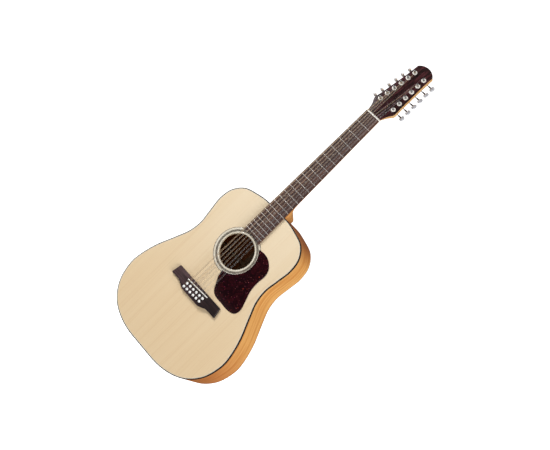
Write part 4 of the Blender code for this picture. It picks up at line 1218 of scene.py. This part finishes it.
def make_neck():
    """The neck in one piece: tilted headstock, rounded shaft and heel, lofted from section to section."""
    shaft = neck_profile(1.12, 1.0)
    square = neck_profile(0.12, 0.12)
    heel = heel_profile()
    rings = []
    edge = headstock_edge()
    outline = edge + mirrored(edge[:-1])
    edge[-1] = Vector((0.0006, edge[-1].y))
    for point in reversed(edge):
        share = clamp((point.y - HEADSTOCK_SQUARE_FROM) / (HEADSTOCK_SQUARE_TO - HEADSTOCK_SQUARE_FROM))
        depth = between(NECK_DEPTH_NUT, HEADSTOCK_DEPTH, share)
        profile = blended(shaft, square, share**0.7)
        rings.append(neck_section(
            point.x, depth, profile, lambda x, out, u=point.y: (x, *headstock_place(u, out))
        ))
    stations = []
    for y in spread(SCALE_LENGTH - 0.002, HEEL_START, 34):
        share = (SCALE_LENGTH - y) / (SCALE_LENGTH - HEEL_START)
        stations.append((y, between(NECK_DEPTH_NUT, NECK_DEPTH_HEEL, share), shaft))
    lead_in = (HEEL_CURVE[0][0] + 0.01, HEEL_CURVE[0][1])
    lead_out = (HEEL_CURVE[-1][0] - 0.002, HEEL_DEPTH)
    for y, depth in catmull_rom([lead_in, *HEEL_CURVE, lead_out], 4)[1:]:
        missing = (HEEL_DEPTH - depth) / (HEEL_DEPTH - NECK_DEPTH_HEEL)
        stations.append((y, depth, blended(shaft, heel, math.sqrt(max(0.0, 1.0 - missing * missing)))))
    stations.append((NECK_END, HEEL_DEPTH, heel))
    for y, depth, profile in stations:
        rings.append(neck_section(fretboard_half(y), depth, profile, lambda x, out, y=y: (x, y, out)))
    piece("carved_neck", sweep(rings), "neck", replaces=["neck"], sharp=48.0)
    piece("headstock_face", slab(outline, VENEER_FACE, VENEER_ROUNDING), "veneer",
          place=HEAD, replaces=["headstock_veneer"], sharp=40.0)


# The tuning machines

def make_tuners():
    for side in (-1, 1):
        for number in range(6):
            make_post(side, number)
            make_button(side, number)
    make_tuner_plate(-1)
    make_tuner_plate(1)


def gear_wheel(low, high):
    """A toothed wheel about Z."""
    tooth_shape = ((0.0, 0.0), (0.22, 0.0), (0.36, 0.0007), (0.64, 0.0007), (0.78, 0.0))
    chamfer = 0.0003
    rings = []
    for height, shrink in ((low, chamfer), (low + chamfer, 0.0), (high - chamfer, 0.0), (high, chamfer)):
        rings.append([
            polar(GEAR_RADIUS - depth - shrink, math.tau * (tooth + share) / GEAR_TEETH, height)
            for tooth in range(GEAR_TEETH)
            for share, depth in tooth_shape
        ])
    return sweep(rings)


def make_post(side, number):
    """A string post with its cross hole, gear wheel and bushing."""
    x, u = post_place(side, number)
    place = HEAD @ at(x, u)
    name = tuner_name(side, number)
    body = f"tuner_post_{name}"
    gear_top = -HEADSTOCK_DEPTH - PLATE_BACK - GAP
    gear_bottom = 2 * WORM_HEIGHT - gear_top
    profile = [(radius, gear_bottom + height) for radius, height in (
        (0.0016, -0.0012), (0.0020, -0.0008), (0.0020, 0.0002), (POST_RADIUS, 0.0002)
    )]
    profile += [(radius, VENEER_FACE + height) for radius, height in (
        (POST_RADIUS, 0.0032), (POST_RADIUS * 0.93, 0.0039), (POST_WAIST, 0.0049), (POST_WAIST, 0.0086),
        (POST_RADIUS * 0.95, 0.0098), (POST_RADIUS, 0.0103), (POST_RADIUS, POST_HEIGHT - 0.0006),
        (POST_RADIUS * 0.80, POST_HEIGHT)
    )]
    hole = turned([(POST_HOLE_RADIUS, -2 * POST_RADIUS), (POST_HOLE_RADIUS, 2 * POST_RADIUS)], 16)
    hole = moved(hole, at(0.0, 0.0, VENEER_FACE + POST_HOLE_HEIGHT) @ Matrix.Rotation(math.pi / 2, 4, "Y"))
    slot = bar(0.004, 0.0003, gear_bottom - 0.0020, gear_bottom - 0.0008)
    piece(f"string_post_{name}", turned(profile, 32), "post", body=body, place=place,
          replaces=[body], cutters=[hole, slot], sharp=40.0)
    piece(f"gear_{name}", gear_wheel(gear_bottom, gear_top), "gear", body=body, place=place)
    collar = [(BUSHING_RADIUS - inwards, VENEER_FACE + height) for inwards, height in (
        (0.0, 0.0), (0.0, 0.0006), (0.0006, 0.0012), (0.0014, 0.0013), (0.0016, 0.0022), (0.0020, 0.0025)
    )]
    # the bushings' near-white colour is painted reflection
    piece(f"bushing_{name}", tube(POST_RADIUS + 0.0002, collar, 40), "nickel", place=place)


def kidney(reach):
    """A rounded kidney-shaped knob in the X-Z plane, hollowed a little where the shaft enters."""
    outline = []
    for turn in around(44):
        x = BUTTON_HALF_WIDTH * math.copysign(abs(math.cos(turn)) ** 0.86, math.cos(turn))
        z = BUTTON_LENGTH / 2 * math.copysign(abs(math.sin(turn)) ** 0.86, math.sin(turn))
        if z < 0:
            z *= 1.0 - 0.42 * math.exp(-((x / 0.0032) ** 2))
        outline.append((x, z * (1.0 - 0.10 * (x / BUTTON_HALF_WIDTH) ** 2)))
    rings = []
    for degrees in spread(-84.0, 84.0, 15):
        turn = math.radians(degrees)
        shrink = math.cos(turn) ** 0.55
        lift = BUTTON_HALF_THICKNESS * math.sin(turn)
        rings.append([(x * shrink, lift, reach - BUTTON_LENGTH / 2 + z * shrink) for x, z in outline])
    return sweep(rings)


def worm():
    """A worm about Z with one thread."""
    rings = []
    for z in spread(-WORM_HALF_LENGTH, WORM_HALF_LENGTH, 81):
        ring = []
        for turn in around(20):
            crest = 0.5 + 0.5 * math.cos(turn - math.tau * z / WORM_PITCH)
            ring.append(polar(WORM_RADIUS - WORM_THREAD * (1.0 - crest), turn, z))
        rings.append(ring)
    return sweep(rings)


def make_button(side, number):
    """A worm shaft with its knob; the bass knobs stand edge-on, the treble ones face-on."""
    x, u = post_place(side, number)
    name = tuner_name(side, number)
    body = f"tuner_button_{name}"
    reach = between(BUTTON_REACH_FIRST, BUTTON_REACH_LAST, number / 5)
    spin = math.pi / 2 if side > 0 else math.pi
    place = (
        HEAD
        @ at(x, u + WORM_OFFSET, WORM_HEIGHT)
        @ Matrix.Rotation(side * math.pi / 2, 4, "Y")
        @ Matrix.Rotation(spin, 4, "Z")
    )
    start = reach - BUTTON_LENGTH
    shaft = [(SHAFT_RADIUS * 0.8, SHAFT_END - 0.0003), (SHAFT_RADIUS, SHAFT_END)]
    shaft += [(SHAFT_RADIUS, start - 0.0020), (SHAFT_RADIUS, start + 0.0040)]
    collar = [(SHAFT_RADIUS + out, start + height) for out, height in (
        (0.0004, -0.0064), (0.0009, -0.0060), (0.0009, -0.0010), (0.0012, 0.0034)
    )]
    shapes = joined([turned(shaft, 20), worm(), turned(collar, 24)])
    piece(f"worm_shaft_{name}", shapes, "shaft", body=body, place=place)
    # the bass knobs take the paler copy of the satin chrome, painted light
    look = "satin" if side > 0 else "satin_painted_light"
    piece(f"knob_{name}", kidney(reach), look, body=body,
          place=place, replaces=[body], sharp=50.0)


def lug(x, u):
    """A half-round bearing lug that the worm shaft turns in, standing on the plate's back."""
    top = -HEADSTOCK_DEPTH - GAP - 0.0004
    outline = [(-LUG_HALF, top), *arch(-LUG_HALF, -LUG_HALF, WORM_HEIGHT, 14), (LUG_HALF, top)]
    faces = (x - LUG_HALF_THICKNESS, x + LUG_HALF_THICKNESS)
    return sweep([[(face, u + aside, z) for aside, z in outline] for face in faces])


def rounded_corners(corners, radius):
    """A polygon with each corner replaced by a short curve."""
    made = []
    for index, corner in enumerate(corners):
        before = (corners[index - 1] - corner).normalized() * radius
        after = (corners[(index + 1) % len(corners)] - corner).normalized() * radius
        for t in spread(0.0, 1.0, 8):
            made.append((corner + before).lerp(corner, t).lerp(corner.lerp(corner + after, t), t))
    return made


def make_tuner_plate(side):
    """A stamped plate behind the headstock with two lugs for each worm shaft, held by small screws."""
    front_x, first_u = post_place(side, 0)
    last_x, last_u = post_place(side, 5)
    edges = (side * PLATE_INNER, side * PLATE_OUTER)
    corners = [Vector((front_x + edge, first_u + PLATE_FOOT)) for edge in edges]
    corners += [Vector((last_x + edge, last_u + PLATE_HEAD)) for edge in reversed(edges)]
    plate = slab(rounded_corners(corners, PLATE_CORNER), PLATE_BACK, PLATE_ROUNDING)
    shapes = [moved(plate, at(0.0, 0.0, -HEADSTOCK_DEPTH) @ Matrix.Diagonal((1.0, 1.0, -1.0, 1.0)))]
    for number in range(6):
        x, u = post_place(side, number)
        shapes += [lug(x + side * middle, u + WORM_OFFSET) for middle in (LUG_INNER, LUG_OUTER)]
    name = side_name(side)
    piece(f"machine_plate_{name}", joined(shapes), "chrome", place=HEAD,
          replaces=[f"tuner_plate_{name}"])
    for number in range(7):
        share = (number - 0.5) / 5
        x = between(front_x, last_x, share) + side * SCREW_INNER
        u = between(first_u, last_u, share) + (0.0062 if number == 0 else 0.0)
        make_screw(f"plate_screw_{name}_{number + 1}", x, u)


def make_screw(name, x, u):
    """A small domed screw with a cross recess, seen from behind the headstock."""
    profile = [(0.0019, 0.0), (0.0019, 0.0003), (0.0016, 0.0007), (0.0010, 0.0010), (0.0004, 0.0011)]
    recess = bar(0.0011, 0.00025, 0.0005, 0.0016)
    bars = [moved(recess, Matrix.Rotation(turn, 4, "Z")) for turn in (0.0, math.pi / 2)]
    place = HEAD @ at(x, u, -HEADSTOCK_DEPTH - PLATE_BACK) @ Matrix.Rotation(math.pi, 4, "X")
    piece(name, turned(profile, 20), "chrome", place=place, cutters=bars)


# The strings and the truss rod

def make_strings():
    for course in range(6):
        for row in (1, 0):
            make_string(course, row, 11 - 2 * course + row)


def make_string(course, row, number):
    """One string from its bridge pin over the saddle and nut, with its turns round the post."""
    radius = string_radius(course, row)
    pins = pin_places()
    _, _, pin_x, pin_y = pins[2 * course + row]
    exit_y = pin_y + PIN_HOLE_RADIUS - radius - 0.0004
    points = [(pin_x - 0.0002, exit_y, height) for height in (STRING_BALL_DEPTH, BRIDGE_HEIGHT - 0.0004)]
    points.append((pin_x - 0.0004, exit_y + 0.0005, BRIDGE_HEIGHT + radius + 0.0006))
    if row == 1:
        front_x, front_y = pins[2 * course][2:]
        points.append((front_x - 0.0043, front_y, BRIDGE_HEIGHT + radius + 0.0016))
    saddle_x = pair_x(course, row, COURSE_SPACING_SADDLE, PAIR_GAP_SADDLE) + SADDLE_STRING_SHIFT
    crown = SADDLE_CROWN * (saddle_x / SADDLE_HALF) ** 2
    points.append((saddle_x, SADDLE_Y + SADDLE_SLANT * saddle_x, SADDLE_TOP - crown + radius + 0.00005))
    nut_x, nut_z = string_nut_place(course, row)
    points.append((nut_x, SCALE_LENGTH + 0.0006, nut_z))
    side, post = string_post(course, row)
    post_x, post_u = post_place(side, post)
    coil = POST_WAIST + radius
    low = VENEER_FACE + WINDING_HEIGHT
    points.append((post_x - side * (coil + GAP), *headstock_place(post_u, low)))
    look, slot = ("bronze", "string_bronze") if radius > WOUND_FROM else ("steel", "string_steel")
    wire(f"guitar_string_{number}", points, radius, look, replaces=[f"string_{number}"])

    turns = 2.6 if radius > 0.00045 else 3.6
    helix = []
    for share in spread(0.0, 1.0, int(turns * 24) + 1):
        across, up, _ = polar(coil, share * turns * math.tau, 0.0)
        height = low + share * turns * 2.05 * radius - 0.0004
        helix.append((post_x - side * across, post_u + up, height))
    name = tuner_name(side, post)
    wire(f"string_wrap_{name}", helix, radius, look, body=f"tuner_post_{name}", place=HEAD, sides=2)


def make_truss_rod():
    """The round adjusting rod, with a six-sided socket in its end inside the soundhole."""
    profile = [(ROD_HEAD_RADIUS - 0.0004, 0.0), (ROD_HEAD_RADIUS, 0.0004), (ROD_HEAD_RADIUS, 0.0118)]
    profile += [(ROD_RADIUS, 0.0125), (ROD_RADIUS, ROD_FAR_END - ROD_NUT_END)]
    place = LYING @ at(0.0, ROD_NUT_END, ROD_DEPTH) @ Matrix.Rotation(-math.pi / 2, 4, "X")
    socket = turned([(0.0020, -0.002), (0.0020, 0.007)], 6)
    piece("adjusting_rod", turned(profile, 28), "gear", body="truss_rod", place=place,
          replaces=["truss_rod"], cutters=[socket])


# What stays as the CAD model has it

def dress_cad_nodes():
    """The hidden woodwork keeps its CAD shapes and gets darker copies of the spruce and mahogany, painted
    shade for the inside of the body.
    """
    for look, nodes in HIDDEN_WOODS.items():
        for node in nodes:
            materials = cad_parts[node].data.materials
            materials.clear()
            materials.append(LOOKS[look])


# The stage, the lights and the camera

def make_stage():
    """A pale floor that curves up into a backdrop all round."""
    low = cad_bounds[0].z - FLOOR_DROP
    flat = STAGE_RADIUS - STAGE_CURVE
    profile = [(0.01, low), (flat, low)]
    for turn in spread(0.0, math.pi / 2, 25)[1:]:
        profile.append((flat + STAGE_CURVE * math.sin(turn), low + STAGE_CURVE * (1.0 - math.cos(turn))))
    profile.append((STAGE_RADIUS, low + STAGE_HEIGHT))
    rings = [[polar(radius, turn, height) for turn in around(96)] for radius, height in profile]
    vertices, faces = sweep(rings, caps=False)
    faces.append(tuple(range(96)))
    floor = mesh_object("studio_floor", (vertices, faces), Matrix.Identity(4), 60.0)
    look = Look("pale_floor", FLOOR_COLOUR, Roughness=0.9, Emission_Color=WHITE, Emission_Strength=1.0)
    floor.data.materials.append(look.finish())
    for ray in ("diffuse", "glossy", "transmission", "shadow"):
        setattr(floor, f"visible_{ray}", False)


def aimed(place, aim):
    return (Vector(aim) - Vector(place)).to_track_quat("-Z", "Y")


def make_world():
    """Even light all round, but reflections see dark in front and behind and bright walls at the sides."""
    world = bpy.data.worlds.new("studio")
    world.use_nodes = True
    sky = Nodes(world.node_tree)
    towards = sky.node("TexCoord", {}).outputs["Generated"]
    share = sky.node("VectorMath", {0: towards, 1: DARK_AXIS}, operation="DOT_PRODUCT").outputs["Value"]
    walls = sky.ramp(sky.maths("MULTIPLY", share, share), 0.86, 0.45, *REFLECTED_LIGHT)
    front = sky.ramp(sky.part(towards, "Y"), 0.70, 0.20, 0.12, 1.0)
    reflected = sky.maths("MULTIPLY", walls, front)
    glossy = sky.node("LightPath", {}).outputs["Is Glossy Ray"]
    strength = sky.node("MapRange", {"Value": glossy, "To Min": AMBIENT_LIGHT, "To Max": reflected})
    background = sky.tree.nodes["Background"].inputs
    sky.set(background["Strength"], strength.outputs["Result"])
    sky.set(background["Color"], WHITE)
    bpy.context.scene.world = world


def make_lights():
    """Three soft round lamps that the camera doesn't see."""
    for name, place, size, power in LIGHTS:
        data = bpy.data.lights.new(name, "AREA")
        data.shape = "DISK"
        data.size = size
        data.energy = power
        lamp = bpy.data.objects.new(name, data)
        lamp.location = place
        lamp.rotation_euler = aimed(place, LIGHTS_AIM).to_euler()
        lamp.visible_camera = False
        bpy.context.collection.objects.link(lamp)


def make_camera():
    data = bpy.data.cameras.new("camera")
    data.lens = LENS
    camera = bpy.data.objects.new("camera", data)
    camera.location = CAMERA_PLACE
    level_view = aimed(CAMERA_PLACE, CAMERA_AIM).to_matrix().to_4x4()
    camera.rotation_euler = (level_view @ Matrix.Rotation(CAMERA_ROLL, 4, "Z")).to_euler()
    bpy.context.collection.objects.link(camera)
    bpy.context.scene.camera = camera


LOOKS = make_looks()
make_camera()
body = body_outline()
make_soundboard(body)
make_back(body)
make_sides()
make_bindings(body)
make_rosette()
make_pickguard()
make_bridge()
make_fretboard()
make_frets()
make_dots()
make_nut()
make_neck()
make_tuners()
make_strings()
make_truss_rod()
dress_cad_nodes()
make_stage()
make_world()
make_lights()
bpy.context.scene.view_settings.view_transform = "Standard"
